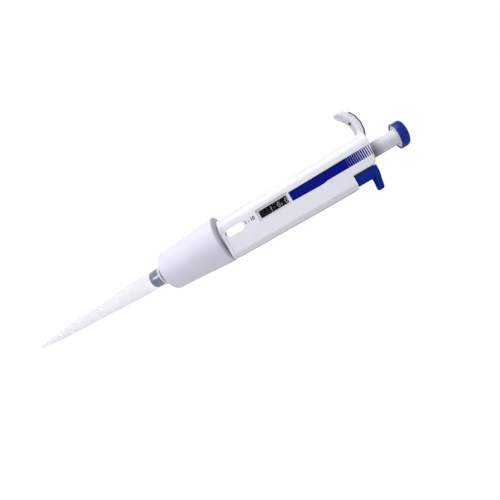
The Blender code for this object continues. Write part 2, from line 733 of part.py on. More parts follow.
def pinion(name, bottom, top, parent):
    """A transfer pinion, with four points of its outline to a tooth."""
    points = []
    for index in range(PINION_TEETH * 4):
        radius = PINION_RADIUS if index % 4 in (0, 1) else PINION_ROOT
        angle = 2 * math.pi * index / (PINION_TEETH * 4)
        points.append((PINION_X + radius * math.cos(angle), PINION_Y + radius * math.sin(angle)))
    gear = upright_prism(name, points, bottom, top, PARTS)
    cut(gear, rod_cutter(name + "_bore", PINION_SHAFT + RUNNING, bottom - 0.005, top + 0.005,
                         PINION_X, PINION_Y, SMALL_STEPS))
    settle(gear, INNER_PLASTIC, parent)


def counter():
    counter_plate("counter_lower_plate", COUNTER_FLOOR)
    counter_plate("counter_upper_plate", WINDOW_TOP + SEAT)
    dial_drive = joint_empty("dial_drive_axis")
    ring("drive_shaft", SHAFT_BORE, SHAFT_RADIUS, SHAFT_BOTTOM, SHAFT_TOP, STEEL, parent=dial_drive)
    counter_wheel("counter_wheel_blank", 0, WHEEL_BORE)
    counter_wheel("counter_wheel_tens", 1, WHEEL_BORE, joint_empty("tens_axis"))
    counter_wheel("counter_wheel_units", 2, WHEEL_BORE, joint_empty("units_axis"))
    counter_wheel("counter_wheel_tenths", 3, WHEEL_BORE, dial_drive)
    shaft_top = WINDOW_TOP + SEAT + COUNTER_PLATE
    shaft_profile = [
        (0.0, shaft_top),
        (PINION_SHAFT, shaft_top),
        (PINION_SHAFT, COUNTER_FLOOR),
        (0.0, COUNTER_FLOOR),
    ]
    turned("pinion_shaft", shaft_profile, STEEL, SMALL_STEPS, PINION_X, PINION_Y)
    for name, wheel in (("transfer_pinion_tens", 1), ("transfer_pinion_units", 2)):
        axis = joint_empty(name + "_axis", PINION_X, PINION_Y)
        bottom = WINDOW_BOTTOM + (wheel + 0.55) * WHEEL_PITCH
        pinion(name, bottom, bottom + PINION_HEIGHT, axis)


# The volume drive above the counter: bearing, travelling nut and the ejector rod's guide.
def volume_drive():
    bearing_bottom = SHAFT_TOP - BEARING_HEIGHT - 0.0001
    bearing_points = rounded_on_hook_side(INNER_X_LOW + SEAT, BUTTON_BLOCK_X - 0.0008, -INNER_Y + SEAT,
                                          INNER_Y - SEAT, INNER_HOOK_CORNER - SEAT)
    bearing_top = bearing_bottom + BEARING_HEIGHT
    bearing = upright_prism("shaft_bearing", bearing_points, bearing_bottom, bearing_top, PARTS)
    cut(bearing, rod_cutter("bearing_bore", WHEEL_BORE, bearing_bottom - 0.005, bearing_bottom + 0.01))
    settle(bearing, INNER_PLASTIC)
    nut_top = bearing_bottom - SEAT - 0.0004
    nut = ring("volume_nut", WHEEL_BORE, NUT_RADIUS, nut_top - NUT_HEIGHT, nut_top, INNER_PLASTIC,
               parent=joint_empty("nut_axis"))
    cut(nut, box("nut_key_flat", (-0.004, NUT_RADIUS - 0.001, nut_top - NUT_HEIGHT - 0.001),
                 (0.004, NUT_RADIUS + 0.002, nut_top + 0.001), CUTTERS))
    guide_points = rounded_rectangle(EJECTOR_ROD_X - GUIDE_LEDGE, INNER_X_HIGH - SEAT, -0.0052, 0.0052,
                                     0.0012, 0.0012, 3)
    guide = upright_prism("ejector_guide", guide_points, GUIDE_BOTTOM, GUIDE_TOP, PARTS)
    cut(guide, rod_cutter("guide_hole", EJECTOR_ROD_RADIUS + RUNNING, GUIDE_BOTTOM - 0.005,
                          GUIDE_TOP + 0.005, EJECTOR_ROD_X, 0.0, SMALL_STEPS))
    settle(guide, INNER_PLASTIC)


# The plunger: button, its collar and tube turn and slide, the steel rod and piston only slide.
def plunger():
    dial = joint_empty("dial_axis")
    slide = joint_empty("plunger_axis")
    cap_floor = BUTTON_TOP - 0.0022
    skirt = BUTTON_RADIUS - BUTTON_WALL
    button_profile = [
        (0.0, BUTTON_TOP),
        (BUTTON_RADIUS - 0.0026, BUTTON_TOP),
        (BUTTON_RADIUS - 0.0013, BUTTON_TOP - 0.0004),
        (BUTTON_RADIUS - 0.0004, BUTTON_TOP - 0.0013),
        (BUTTON_RADIUS, BUTTON_TOP - 0.0028),
        (BUTTON_RADIUS, BUTTON_BOTTOM + 0.0003),
        (BUTTON_RADIUS - 0.0003, BUTTON_BOTTOM),
        (skirt, BUTTON_BOTTOM),
        (skirt, cap_floor),
        (0.0, cap_floor),
    ]
    turned("push_button", button_profile, BLUE, ROUND_STEPS, parent=dial)
    collar_profile = [
        (skirt - SEAT, cap_floor - SEAT),
        (skirt - SEAT, BUTTON_BOTTOM + 0.0004),
        (skirt - 0.0008, BUTTON_BOTTOM + 0.0001),
        (PLUNGER_RADIUS + SEAT, BUTTON_BOTTOM + 0.0001),
        (PLUNGER_RADIUS + SEAT, cap_floor - SEAT),
    ]
    turned("button_collar", collar_profile, WHITE_SHELL, parent=dial)
    ring("plunger_tube", ROD_RADIUS + SEAT, PLUNGER_RADIUS, WASHER_TOP + SEAT, cap_floor - SEAT, WHITE_SHELL,
         parent=dial)
    rod_top = WASHER_TOP + ROD_REACH
    rod_foot = PISTON_TOP - 0.0030
    rod_profile = [(0.0, rod_top), (ROD_RADIUS, rod_top), (ROD_RADIUS, rod_foot), (0.0, rod_foot)]
    turned("piston_rod", rod_profile, STEEL, parent=slide)
    ring("thrust_washer", ROD_RADIUS + SEAT, NECK_BORE - 0.0008, WASHER_TOP - WASHER_HEIGHT,
         WASHER_TOP, STEEL, parent=slide)
    coil("blow_out_spring", NECK_BORE - 0.0033, BLOW_OUT_WIRE, COLLAR_TOP + SEAT,
         WASHER_TOP - WASHER_HEIGHT - SEAT, BLOW_OUT_TURNS, SPRING_STEEL, parent=slide)
    ring("stop_collar", ROD_RADIUS + SEAT, NECK_BORE - 0.0006, COLLAR_BOTTOM, COLLAR_TOP, INNER_PLASTIC,
         parent=slide)
    coil("plunger_spring", SPRING_COIL_RADIUS, SPRING_WIRE, SPRING_SEAT + SEAT, COLLAR_BOTTOM - SEAT,
         SPRING_TURNS, SPRING_STEEL)
    groove = BORE_RADIUS - 0.0022
    edge = BORE_RADIUS - RUNNING
    seal_top = PISTON_TOP - 0.0014
    seal_bottom = PISTON_BOTTOM + 0.0014
    piston_profile = [
        (0.0, PISTON_TOP - 0.0034),
        (ROD_RADIUS + SEAT, PISTON_TOP - 0.0034),
        (ROD_RADIUS + SEAT, PISTON_TOP),
        (edge, PISTON_TOP),
        (edge, seal_top),
        (groove, seal_top),
        (groove, seal_bottom),
        (edge, seal_bottom),
        (edge - 0.0006, PISTON_BOTTOM),
        (0.0, PISTON_BOTTOM),
    ]
    turned("piston", piston_profile, INNER_PLASTIC, parent=slide)
    ring("piston_seal", groove + SEAT, BORE_RADIUS - 0.0002, seal_bottom + SEAT, seal_top - SEAT, RUBBER,
         parent=slide)
    ring("top_bush", SHAFT_BORE, BUSH_RADIUS, BUSH_BOTTOM, BUSH_TOP, WHITE_SHELL)


# The liquid end: head, cylinder and nozzle, clamped to the base cap by a nut.
def liquid_end():
    head_profile = [
        (NECK_RADIUS, HEAD_TOP),
        (NECK_RADIUS, HANDLE_BOTTOM - SEAT),
        (FLANGE_RADIUS, HANDLE_BOTTOM - SEAT),
        (FLANGE_RADIUS, HANDLE_BOTTOM - SEAT - FLANGE_HEIGHT),
        (NECK_RADIUS, HANDLE_BOTTOM - SEAT - FLANGE_HEIGHT),
        (NECK_RADIUS, CHAMBER_TOP + 0.0008),
        (NECK_RADIUS + 0.0008, CHAMBER_TOP),
        (CYLINDER_RADIUS, CHAMBER_TOP),
        (CYLINDER_RADIUS, CHAMBER_TOP - HEAD_RIM),
        (ROD_RADIUS + RUNNING, CHAMBER_TOP - HEAD_RIM),
        (ROD_RADIUS + RUNNING, SPRING_SEAT),
        (SPRING_BORE, SPRING_SEAT),
        (SPRING_BORE, STOP_TOP - STOP_HEIGHT - SEAT),
        (NECK_BORE, STOP_TOP - STOP_HEIGHT - SEAT),
        (NECK_BORE, HEAD_TOP),
    ]
    turned("cylinder_head", head_profile, INNER_PLASTIC)
    ring("stop_ring", NECK_BORE - 0.0019, NECK_BORE - SEAT, STOP_TOP - STOP_HEIGHT, STOP_TOP, STEEL)
    nut_bottom = BODY_BOTTOM + BASE_SPIGOT + SEAT
    ring("neck_nut", NECK_RADIUS + SEAT, INNER_Y - SEAT, nut_bottom, nut_bottom + NECK_NUT_HEIGHT, STEEL)
    boss_top = CHAMBER_FLOOR - BOSS_CONE
    boss_bottom = SLEEVE_FLOOR + 0.0030
    shank = 0.0050
    cylinder_profile = [
        (CYLINDER_RADIUS, CHAMBER_TOP - HEAD_RIM - SEAT),
        (CYLINDER_RADIUS, CHAMBER_FLOOR - 0.0010),
        (BOSS_RADIUS + 0.0010, boss_top),
        (BOSS_RADIUS, boss_top - 0.0010),
        (BOSS_RADIUS, boss_bottom),
        (shank + SEAT, boss_bottom),
        (shank + SEAT, boss_top - 0.0008),
        (OUTLET_RADIUS, boss_top - 0.0008),
        (OUTLET_RADIUS, boss_top + 0.0020),
        (BORE_RADIUS, CHAMBER_FLOOR),
        (BORE_RADIUS, CHAMBER_TOP - HEAD_RIM - SEAT),
    ]
    turned("cylinder", cylinder_profile, INNER_PLASTIC)
    gasket_top = boss_bottom - SEAT
    gasket_bottom = gasket_top - 0.0008
    ring("nozzle_gasket", shank + SEAT, NOZZLE_RADIUS, gasket_bottom, gasket_top, RUBBER)
    filter_seat = 0.0052
    nozzle_profile = [
        (shank, boss_top - 0.0011),
        (shank, gasket_bottom - SEAT),
        (NOZZLE_RADIUS, gasket_bottom - SEAT),
        (NOZZLE_RADIUS, NOZZLE_BOTTOM + 0.0045),
        (NOZZLE_RADIUS - 0.0004, NOZZLE_BOTTOM + 0.0005),
        (NOZZLE_RADIUS - 0.0009, NOZZLE_BOTTOM),
        (filter_seat, NOZZLE_BOTTOM),
        (filter_seat, NOZZLE_BOTTOM + 0.0070),
        (OUTLET_RADIUS, NOZZLE_BOTTOM + 0.0070),
        (OUTLET_RADIUS, boss_top - 0.0011),
    ]
    turned("nozzle", nozzle_profile, STEEL)
    turned("nozzle_filter", [(0.0, NOZZLE_BOTTOM + 0.0064), (filter_seat - SEAT, NOZZLE_BOTTOM + 0.0064),
           (filter_seat - SEAT, NOZZLE_BOTTOM + 0.0010), (0.0, NOZZLE_BOTTOM + 0.0010)], FILTER)


def sleeve_radius(share):
    """The sleeve's outside, from its foot at 0 to its deck at 1: a cone that flares near the top."""
    spread = SLEEVE_TOP_RADIUS - SLEEVE_FOOT_RADIUS
    return SLEEVE_FOOT_RADIUS + spread * (0.72 * share + 0.28 * math.sin(math.pi / 2 * share) ** 3)


# The ejector: lever, rod and the wide sleeve that pushes the tip off.
def ejector():
    press = joint_empty("ejector_axis", EJECTOR_ROD_X, 0.0)
    steps = 6
    wall_bottom = SLEEVE_BOTTOM + SLEEVE_CORNER
    wall_top = DECK_TOP - 0.0006
    heights = [wall_top + (wall_bottom - wall_top) * k / steps for k in range(steps + 1)]
    radii = [sleeve_radius((z - wall_bottom) / (wall_top - wall_bottom)) for z in heights]
    mouth = NOZZLE_RADIUS + 0.0006
    outer = [(radii[0] - 0.0006, DECK_TOP)] + list(zip(radii, heights))
    corner_centre = radii[-1] - SLEEVE_CORNER
    outer += arc(corner_centre, wall_bottom, SLEEVE_CORNER, 0, -78, 5)[1:]
    outer.append((mouth + 0.0012, SLEEVE_BOTTOM))
    outer.append((mouth, SLEEVE_BOTTOM + 0.0005))
    inner_top = DECK_TOP - SLEEVE_DECK
    inner = [(mouth, SLEEVE_FLOOR), (corner_centre, SLEEVE_FLOOR)]
    for radius, z in reversed(list(zip(radii, heights))[1:-1]):
        inner.append((radius - SLEEVE_WALL, z))
    inner.append((radii[0] - SLEEVE_WALL, inner_top))
    deck_hole = FLANGE_RADIUS + 0.0005
    inner += [(deck_hole, inner_top), (deck_hole, DECK_TOP)]
    sleeve = turned("ejector_sleeve", outer + inner, WHITE_MATTE, ROUND_STEPS, parent=press)
    cut(sleeve, rod_cutter("sleeve_rod_hole", EJECTOR_ROD_RADIUS + SEAT, inner_top - 0.005, DECK_TOP + 0.005,
                           EJECTOR_ROD_X, 0.0, SMALL_STEPS))
    rod_top = POCKET_BOTTOM + 0.0075
    rod_bottom = inner_top - SEAT - ROD_NUT_HEIGHT
    rod_profile = [
        (0.0, rod_top),
        (EJECTOR_ROD_RADIUS, rod_top),
        (EJECTOR_ROD_RADIUS, DECK_TOP + 0.0018),
        (EJECTOR_ROD_RADIUS + 0.0010, DECK_TOP + 0.0018),
        (EJECTOR_ROD_RADIUS + 0.0010, DECK_TOP + SEAT),
        (EJECTOR_ROD_RADIUS, DECK_TOP + SEAT),
        (EJECTOR_ROD_RADIUS, rod_bottom),
        (0.0, rod_bottom),
    ]
    turned("ejector_rod", rod_profile, STEEL, SMALL_STEPS, EJECTOR_ROD_X, 0.0, press)
    ring("ejector_rod_nut", EJECTOR_ROD_RADIUS + SEAT, 0.0027, rod_bottom, inner_top - SEAT, STEEL,
         SMALL_STEPS, EJECTOR_ROD_X, press)
    coil("ejector_spring", EJECTOR_COIL_RADIUS, EJECTOR_WIRE, GUIDE_TOP + SEAT,
         POCKET_BOTTOM - SEAT, EJECTOR_TURNS, SPRING_STEEL, EJECTOR_ROD_X)
    ejector_button(press)


def lever_outline():
    """The thumb lever from the front: a plate that slopes down to a round end."""
    reach = LEVER_REACH - LEVER_THICKNESS / 2
    drop = LEVER_TOP - LEVER_DROP
    points = [(BUTTON_BLOCK_X, LEVER_TOP), (BUTTON_BLOCK_X, LEVER_TOP - LEVER_THICKNESS)]
    points.append((INNER_X_HIGH - SEAT, drop - LEVER_THICKNESS + 0.0008))
    points += arc(reach, drop - LEVER_THICKNESS / 2, LEVER_THICKNESS / 2, -96, 84, 8)
    return points


def ejector_button(press):
    block_points = rounded_on_lever_side(BUTTON_BLOCK_X, INNER_X_HIGH - SEAT, -INNER_Y + SEAT,
                                         INNER_Y - SEAT, INNER_LEVER_CORNER - SEAT)
    button = upright_prism("ejector_button", block_points, POCKET_BOTTOM, LEVER_TOP - 0.0012, PARTS)
    lever = side_prism("lever_shape", lever_outline(), -LEVER_WIDTH / 2, LEVER_WIDTH / 2, CUTTERS)
    soften(lever, 0.0011, 2, 60)
    add(button, lever)
    cut(button, rod_cutter("button_rod_hole", EJECTOR_ROD_RADIUS + SEAT, POCKET_BOTTOM - 0.005,
                           POCKET_BOTTOM + 0.0078, EJECTOR_ROD_X, 0.0, SMALL_STEPS))
    settle(button, LEVER_BLUE, press)


def tip_radius(share):
    """The tip's outside from its orifice at 0 to its collar at 1."""
    end_cone = 0.43 * (1.0 - math.exp(-share / 0.17))
    shoulder = 0.5 * (1.0 + math.tanh((share - 0.66) / 0.13))
    spread = TIP_COLLAR_RADIUS - TIP_END_RADIUS
    return TIP_END_RADIUS + spread * (end_cone + 0.16 * share + 0.41 * shoulder)


# The disposable tip: a thin cone with a parallel collar and a thicker rim.
def pipette_tip():
    pull = joint_empty("tip_axis")
    steps = 10
    collar_bottom = TIP_TOP - 0.0330
    shares = [k / steps for k in range(steps + 1)]
    heights = [TIP_BOTTOM + (collar_bottom - TIP_BOTTOM) * share for share in shares]
    scale = TIP_COLLAR_RADIUS / tip_radius(1.0)
    radii = [tip_radius(share) * (1.0 + (scale - 1.0) * share) for share in shares]
    rim = TIP_COLLAR_RADIUS + 0.0003
    outer = [(rim, TIP_TOP), (rim, TIP_TOP - 0.0040), (TIP_COLLAR_RADIUS, TIP_TOP - 0.0044)]
    outer += list(zip(reversed(radii), reversed(heights)))
    inner = [(radius - min(TIP_WALL, radius * 0.45), z) for radius, z in zip(radii, heights)]
    inner.append((TIP_COLLAR_RADIUS - TIP_WALL, TIP_TOP))
    turned("pipette_tip", outer + inner, TIP_PLASTIC, ROUND_STEPS, parent=pull)


def housing_screws():
    profile = [
        (0.0, 0.0),
        (0.0015, 0.0),
        (0.0015, -0.0008),
        (0.0009, -0.0009),
        (0.0009, -0.0028),
        (0.0, -0.0028),
    ]
    for side, x in (("left", SCREW_LEFT), ("right", SCREW_RIGHT)):
        screw = turned_mesh(f"housing_screw_{side}", profile, SMALL_STEPS, 0.0, 0.0, PARTS)
        screw.matrix_world = (Matrix.Translation((x, HANDLE_DEPTH / 2 - 0.0004, SCREW_HEIGHT))
                              @ Matrix.Rotation(math.radians(-90), 4, "X"))
        settle(screw, STEEL)


base_cap()
handle_body()
top_housing()
inlays()
housing_screws()
counter()
volume_drive()
plunger()
liquid_end()
ejector()
pipette_tip()
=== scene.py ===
import math

import bmesh
import bpy
from mathutils import Matrix, Vector


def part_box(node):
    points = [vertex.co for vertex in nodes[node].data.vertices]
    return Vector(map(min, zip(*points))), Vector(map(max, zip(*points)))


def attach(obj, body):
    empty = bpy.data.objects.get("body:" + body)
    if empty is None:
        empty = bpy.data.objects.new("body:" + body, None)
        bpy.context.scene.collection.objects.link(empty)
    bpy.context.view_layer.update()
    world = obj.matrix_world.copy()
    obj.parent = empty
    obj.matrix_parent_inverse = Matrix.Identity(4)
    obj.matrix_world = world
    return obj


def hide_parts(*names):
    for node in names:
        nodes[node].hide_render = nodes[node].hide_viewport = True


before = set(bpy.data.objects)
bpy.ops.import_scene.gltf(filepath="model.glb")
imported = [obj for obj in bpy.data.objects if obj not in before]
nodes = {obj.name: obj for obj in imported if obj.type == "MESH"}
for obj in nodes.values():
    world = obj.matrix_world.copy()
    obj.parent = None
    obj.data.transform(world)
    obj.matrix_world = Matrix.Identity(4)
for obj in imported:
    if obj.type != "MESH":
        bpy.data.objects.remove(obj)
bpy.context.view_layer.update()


# The viewpoint: a wide lens a quarter of a metre in front of the handle, rolled so that the
# pipette lies with its tip at the lower left of the picture and its button at the upper right.
view = bpy.data.cameras.new("view_from_the_front")
view.lens = 23.04
view.sensor_width = 36.0
view.clip_start = 0.01
view.clip_end = 20.0
camera = bpy.data.objects.new("view_from_the_front", view)
camera.location = (0.0280, -0.2416, 0.0096)
camera.rotation_euler = (math.radians(63.3555), math.radians(-57.4518), math.radians(25.1961))
view.shift_x = -0.00067
view.shift_y = 0.00111
bpy.context.scene.collection.objects.link(camera)
bpy.context.scene.camera = camera
bpy.context.scene.view_settings.view_transform = "Standard"


# A white studio: a wide pale floor a little below the tip and an even white surround. A large
# soft lamp stands on the hook side, weaker ones in front, on the lever side and behind, and a
# small low one draws the bright line on the nozzle.
def studio_white(tree, lit, gloss, seen=1.0):
    """Show white to the camera and through clear plastic, a softer grey in gloss, and light softly."""
    path = tree.nodes.new("ShaderNodeLightPath")
    straight = tree.nodes.new("ShaderNodeMath")
    straight.operation = "MAXIMUM"
    mirrored = tree.nodes.new("ShaderNodeMapRange")
    mirrored.inputs["To Min"].default_value = lit
    mirrored.inputs["To Max"].default_value = gloss
    level = tree.nodes.new("ShaderNodeMapRange")
    level.inputs["To Max"].default_value = seen
    tree.links.new(path.outputs["Is Camera Ray"], straight.inputs[0])
    tree.links.new(path.outputs["Is Transmission Ray"], straight.inputs[1])
    tree.links.new(path.outputs["Is Glossy Ray"], mirrored.inputs["Value"])
    tree.links.new(mirrored.outputs["Result"], level.inputs["To Min"])
    tree.links.new(straight.outputs[0], level.inputs["Value"])
    return level.outputs["Result"]


world = bpy.data.worlds.new("white_surround")
world.use_nodes = True
bpy.context.scene.world = world
surround = world.node_tree.nodes["Background"]
surround.inputs["Color"].default_value = (1.0, 1.0, 1.0, 1.0)
world.node_tree.links.new(studio_white(world.node_tree, 0.36, 0.35), surround.inputs["Strength"])

bpy.ops.object.select_all(action="DESELECT")
bpy.ops.mesh.primitive_plane_add(size=6.0, location=(0.0, 0.0, -0.300))
floor = bpy.context.object
floor.name = "studio_floor"
floor_paint = bpy.data.materials.new("studio_floor")
floor_paint.use_nodes = True
floor_shader = floor_paint.node_tree.nodes["Principled BSDF"]
floor_shader.inputs["Base Color"].default_value = (0.90, 0.90, 0.90, 1.0)
floor_shader.inputs["Roughness"].default_value = 0.9
floor_shader.inputs["Specular IOR Level"].default_value = 0.1
floor_shader.inputs["Emission Color"].default_value = (1.0, 1.0, 1.0, 1.0)
glow = studio_white(floor_paint.node_tree, 0.0, 0.10, 0.70)
floor_paint.node_tree.links.new(glow, floor_shader.inputs["Emission Strength"])
floor.data.materials.append(floor_paint)


def softbox(name, place, target, size, power, colour=(1.0, 1.0, 1.0)):
    """A square soft lamp that looks at a point on the pipette's axis and isn't seen itself."""
    lamp = bpy.data.lights.new(name, "AREA")
    lamp.shape = "SQUARE"
    lamp.size = size
    lamp.energy = power
    lamp.color = colour
    holder = bpy.data.objects.new(name, lamp)
    holder.location = place
    holder.rotation_euler = (Vector(target) - Vector(place)).to_track_quat("-Z", "Y").to_euler()
    holder.visible_camera = False
    bpy.context.scene.collection.objects.link(holder)


COOL = (0.92, 0.95, 1.0)
HANDLE_MIDDLE = (0.0, 0.0, -0.05)
softbox("hook_side_lamp", (-0.85, -0.35, -0.04), (0.0, 0.0, -0.03), 0.70, 5.3)
softbox("front_lamp", (-0.10, -0.95, -0.10), HANDLE_MIDDLE, 0.60, 1.65, COOL)
softbox("lever_side_lamp", (0.80, 0.05, -0.05), HANDLE_MIDDLE, 0.50, 1.2, COOL)
softbox("rim_lamp", (-0.65, 0.70, 0.10), HANDLE_MIDDLE, 0.60, 1.6)
softbox("low_lamp", (-0.062, -0.240, -0.272), (0.0, 0.0, -0.128), 0.12, 0.12)


# Handle body: one moulding of gloss white plastic, a tube of rounded rectangular section. It has
# a window and three shallow recesses in front, and two screw holes at the back.
def moulded_plastic(name, pale, deep, roughness, relief=0.00001, grain=1400.0):
    """Plastic as it leaves a mould, with a hardly visible mottle and a fine skin."""
    material = bpy.data.materials.new(name)
    material.use_nodes = True
    tree = material.node_tree
    shader = tree.nodes["Principled BSDF"]
    place = tree.nodes.new("ShaderNodeTexCoord")
    mottle = tree.nodes.new("ShaderNodeTexNoise")
    mottle.inputs["Scale"].default_value = 45.0
    mottle.inputs["Detail"].default_value = 3.0
    tint = tree.nodes.new("ShaderNodeValToRGB")
    tint.color_ramp.elements[0].position = 0.30
    tint.color_ramp.elements[0].color = (*deep, 1.0)
    tint.color_ramp.elements[1].position = 0.70
    tint.color_ramp.elements[1].color = (*pale, 1.0)
    gloss = tree.nodes.new("ShaderNodeMapRange")
    gloss.inputs["To Min"].default_value = roughness * 0.85
    gloss.inputs["To Max"].default_value = roughness * 1.15
    skin = tree.nodes.new("ShaderNodeTexNoise")
    skin.inputs["Scale"].default_value = grain
    skin.inputs["Detail"].default_value = 2.0
    bump = tree.nodes.new("ShaderNodeBump")
    bump.inputs["Strength"].default_value = 0.35
    bump.inputs["Distance"].default_value = relief
    tree.links.new(place.outputs["Object"], mottle.inputs["Vector"])
    tree.links.new(place.outputs["Object"], skin.inputs["Vector"])
    tree.links.new(mottle.outputs["Fac"], tint.inputs["Fac"])
    tree.links.new(tint.outputs["Color"], shader.inputs["Base Color"])
    tree.links.new(mottle.outputs["Fac"], gloss.inputs["Value"])
    tree.links.new(gloss.outputs["Result"], shader.inputs["Roughness"])
    tree.links.new(skin.outputs["Fac"], bump.inputs["Height"])
    tree.links.new(bump.outputs["Normal"], shader.inputs["Normal"])
    return material


def only(piece):
    """Leave one piece selected and active."""
    bpy.ops.object.select_all(action="DESELECT")
    piece.select_set(True)
    bpy.context.view_layer.objects.active = piece


def pick(piece, test, kind="EDGE"):
    """In edit mode, select the edges, or with VERT the vertices, for which the test holds."""
    bpy.ops.mesh.select_mode(type=kind)
    bpy.ops.mesh.select_all(action="DESELECT")
    mesh = bmesh.from_edit_mesh(piece.data)
    for part in (mesh.edges if kind == "EDGE" else mesh.verts):
        part.select_set(test(part))
    mesh.select_flush_mode()
    bmesh.update_edit_mesh(piece.data)


def block(name, low, high):
    """A cube drawn to size, with its place already in its mesh."""
    bpy.ops.object.select_all(action="DESELECT")
    middle = [(a + b) / 2 for a, b in zip(low, high)]
    bpy.ops.mesh.primitive_cube_add(size=1.0, location=middle)
    piece = bpy.context.object
    piece.name = name
    piece.scale = [b - a for a, b in zip(low, high)]
    bpy.ops.object.transform_apply(location=True, rotation=True, scale=True)
    return piece


SAME = 0.000001


def round_corners(piece, along, radii, steps=10):
    """Round a block's edges that run along one axis. radii are for the corners low-low,
    high-low, high-high and low-high of the other two axes."""
    others = [axis for axis in range(3) if axis != along]
    points = [vertex.co.copy() for vertex in piece.data.vertices]
    low = [min(p[axis] for p in points) for axis in others]
    high = [max(p[axis] for p in points) for axis in others]
    corners = [(low[0], low[1]), (high[0], low[1]), (high[0], high[1]), (low[0], high[1])]
    only(piece)
    bpy.ops.object.mode_set(mode="EDIT")
    for (u, v), radius in zip(corners, radii):
        def at_corner(edge):
            first, last = edge.verts[0].co, edge.verts[1].co
            middle = (first + last) / 2
            near = abs(middle[others[0]] - u) < SAME and abs(middle[others[1]] - v) < SAME
            return near and abs(first[along] - last[along]) > SAME

        pick(piece, at_corner)
        bpy.ops.mesh.bevel(offset=radius, segments=steps, affect="EDGES", clamp_overlap=False)
    bpy.ops.object.mode_set(mode="OBJECT")
    return piece


def carve(piece, tool, operation="DIFFERENCE"):
    """Cut a tool out of a piece, or join it to the piece, and clear the tool away."""
    only(piece)
    cut = piece.modifiers.new("carve", "BOOLEAN")
    cut.operation = operation
    cut.solver = "EXACT"
    cut.object = tool
    bpy.ops.object.modifier_apply(modifier=cut.name)
    bpy.data.objects.remove(tool, do_unlink=True)


def rod(radius, depth, place, sides, flat=False):
    """A round bar about a place. A flat one points to the front instead of upwards."""
    turn = math.pi / 2 if flat else 0.0
    bpy.ops.object.select_all(action="DESELECT")
    bpy.ops.mesh.primitive_cylinder_add(vertices=sides, radius=radius, depth=depth, location=place,
                                        rotation=(turn, 0.0, 0.0))
    return bpy.context.object


def break_edges(piece, width, steps=2, angle=40.0):
    """Round a piece's sharp edges a little, as a mould leaves them."""
    only(piece)
    soft = piece.modifiers.new("soft_edges", "BEVEL")
    soft.width = width
    soft.segments = steps
    soft.limit_method = "ANGLE"
    soft.angle_limit = math.radians(angle)
    bpy.ops.object.modifier_apply(modifier=soft.name)


def hand_over(piece, material, body, slot, *stands_for, sharp=35.0):
    """Shade a finished piece, give it its material, and say what it rides on and replaces."""
    only(piece)
    bpy.ops.object.transform_apply(location=True, rotation=True, scale=True)
    bpy.ops.object.shade_smooth_by_angle(angle=math.radians(sharp))
    even = piece.modifiers.new("even_shading", "WEIGHTED_NORMAL")
    even.keep_sharp = True
    bpy.ops.object.modifier_apply(modifier=even.name)
    piece.data.materials.clear()
    piece.data.materials.append(material)
    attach(piece, body)
    if stands_for:
        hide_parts(*stands_for)


gloss_white = moulded_plastic("gloss_white", (0.88, 0.885, 0.96), (0.86, 0.865, 0.94), 0.24)
HANDLE_LOW, HANDLE_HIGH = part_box("handle_body")
FRONT = HANDLE_LOW.y
WALL = 0.0015
CORNERS = (0.0100, 0.0040, 0.0040, 0.0100)
POCKET_BACK = FRONT + 0.0011
PAST = 0.002  # how far a cutting block reaches past the face that it cuts

grip = round_corners(block("handle_shell", HANDLE_LOW, HANDLE_HIGH), 2, CORNERS)
hollow = block("hollow", (HANDLE_LOW.x + WALL, HANDLE_LOW.y + WALL, HANDLE_LOW.z - PAST),
               (HANDLE_HIGH.x - WALL, HANDLE_HIGH.y - WALL, HANDLE_HIGH.z + PAST))
carve(grip, round_corners(hollow, 2, [radius - WALL for radius in CORNERS]))


def recess(node, gap, radius):
    """A pocket in the front wall round a flat inlay, a little larger than the inlay."""
    low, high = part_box(node)
    pocket = block("pocket", (low.x - gap, FRONT - PAST, low.z - gap),
                   (high.x + gap, POCKET_BACK, high.z + gap))
    return round_corners(pocket, 1, (radius,) * 4, 8)


carve(grip, recess("blank_plate", 0.0002, 0.00325))
carve(grip, recess("counter_lens", 0.0001, 0.0009))
WINDOW_HALF = 0.00285
WINDOW_LOW, WINDOW_HIGH = -0.02825, -0.00525
window = block("window", (-WINDOW_HALF, FRONT - PAST, WINDOW_LOW), (WINDOW_HALF, FRONT + 0.004, WINDOW_HIGH))
carve(grip, round_corners(window, 1, (0.0004,) * 4, 4))

STRIP_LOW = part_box("front_panel")[0]
STRIP_SIDE = 0.00335
STRIP_TOP = 0.04088
SWELL_LOW, SWELL_HIGH, SWELL_END = 0.0177, 0.0212, 0.0247
SWELL = 0.0006


def long_strip(name, grow, front, back):
    """The front strip's own shape, or with some growth the pocket that it lies in."""
    piece = block(name, (STRIP_LOW.x - grow, front, STRIP_LOW.z - grow),
                  (STRIP_SIDE + grow, back, STRIP_TOP + grow / 4))
    only(piece)
    bpy.ops.object.mode_set(mode="EDIT")
    for height in (SWELL_LOW, SWELL_HIGH, SWELL_END):
        bpy.ops.mesh.select_all(action="SELECT")
        bpy.ops.mesh.bisect(plane_co=(0.0, 0.0, height), plane_no=(0.0, 0.0, 1.0))

    def on_swell(vertex):
        return vertex.co.x > 0.0 and SWELL_LOW - 0.0005 < vertex.co.z < SWELL_HIGH + 0.0005

    pick(piece, on_swell, "VERT")
    bpy.ops.transform.translate(value=(SWELL, 0.0, 0.0))
    bpy.ops.object.mode_set(mode="OBJECT")
    return piece


POCKET_GAP = 0.0002
SCREW_HOLE = 0.0018
SCREW_HEIGHT = 0.03845
carve(grip, long_strip("strip_pocket", POCKET_GAP, FRONT - PAST, POCKET_BACK))
for x in (-0.006, 0.005):
    carve(grip, rod(SCREW_HOLE, 0.008, (x, HANDLE_HIGH.y, SCREW_HEIGHT), 32, flat=True))
break_edges(grip, 0.00018, 2, 50.0)
hand_over(grip, gloss_white, "grip", "white_shell", "handle_body")


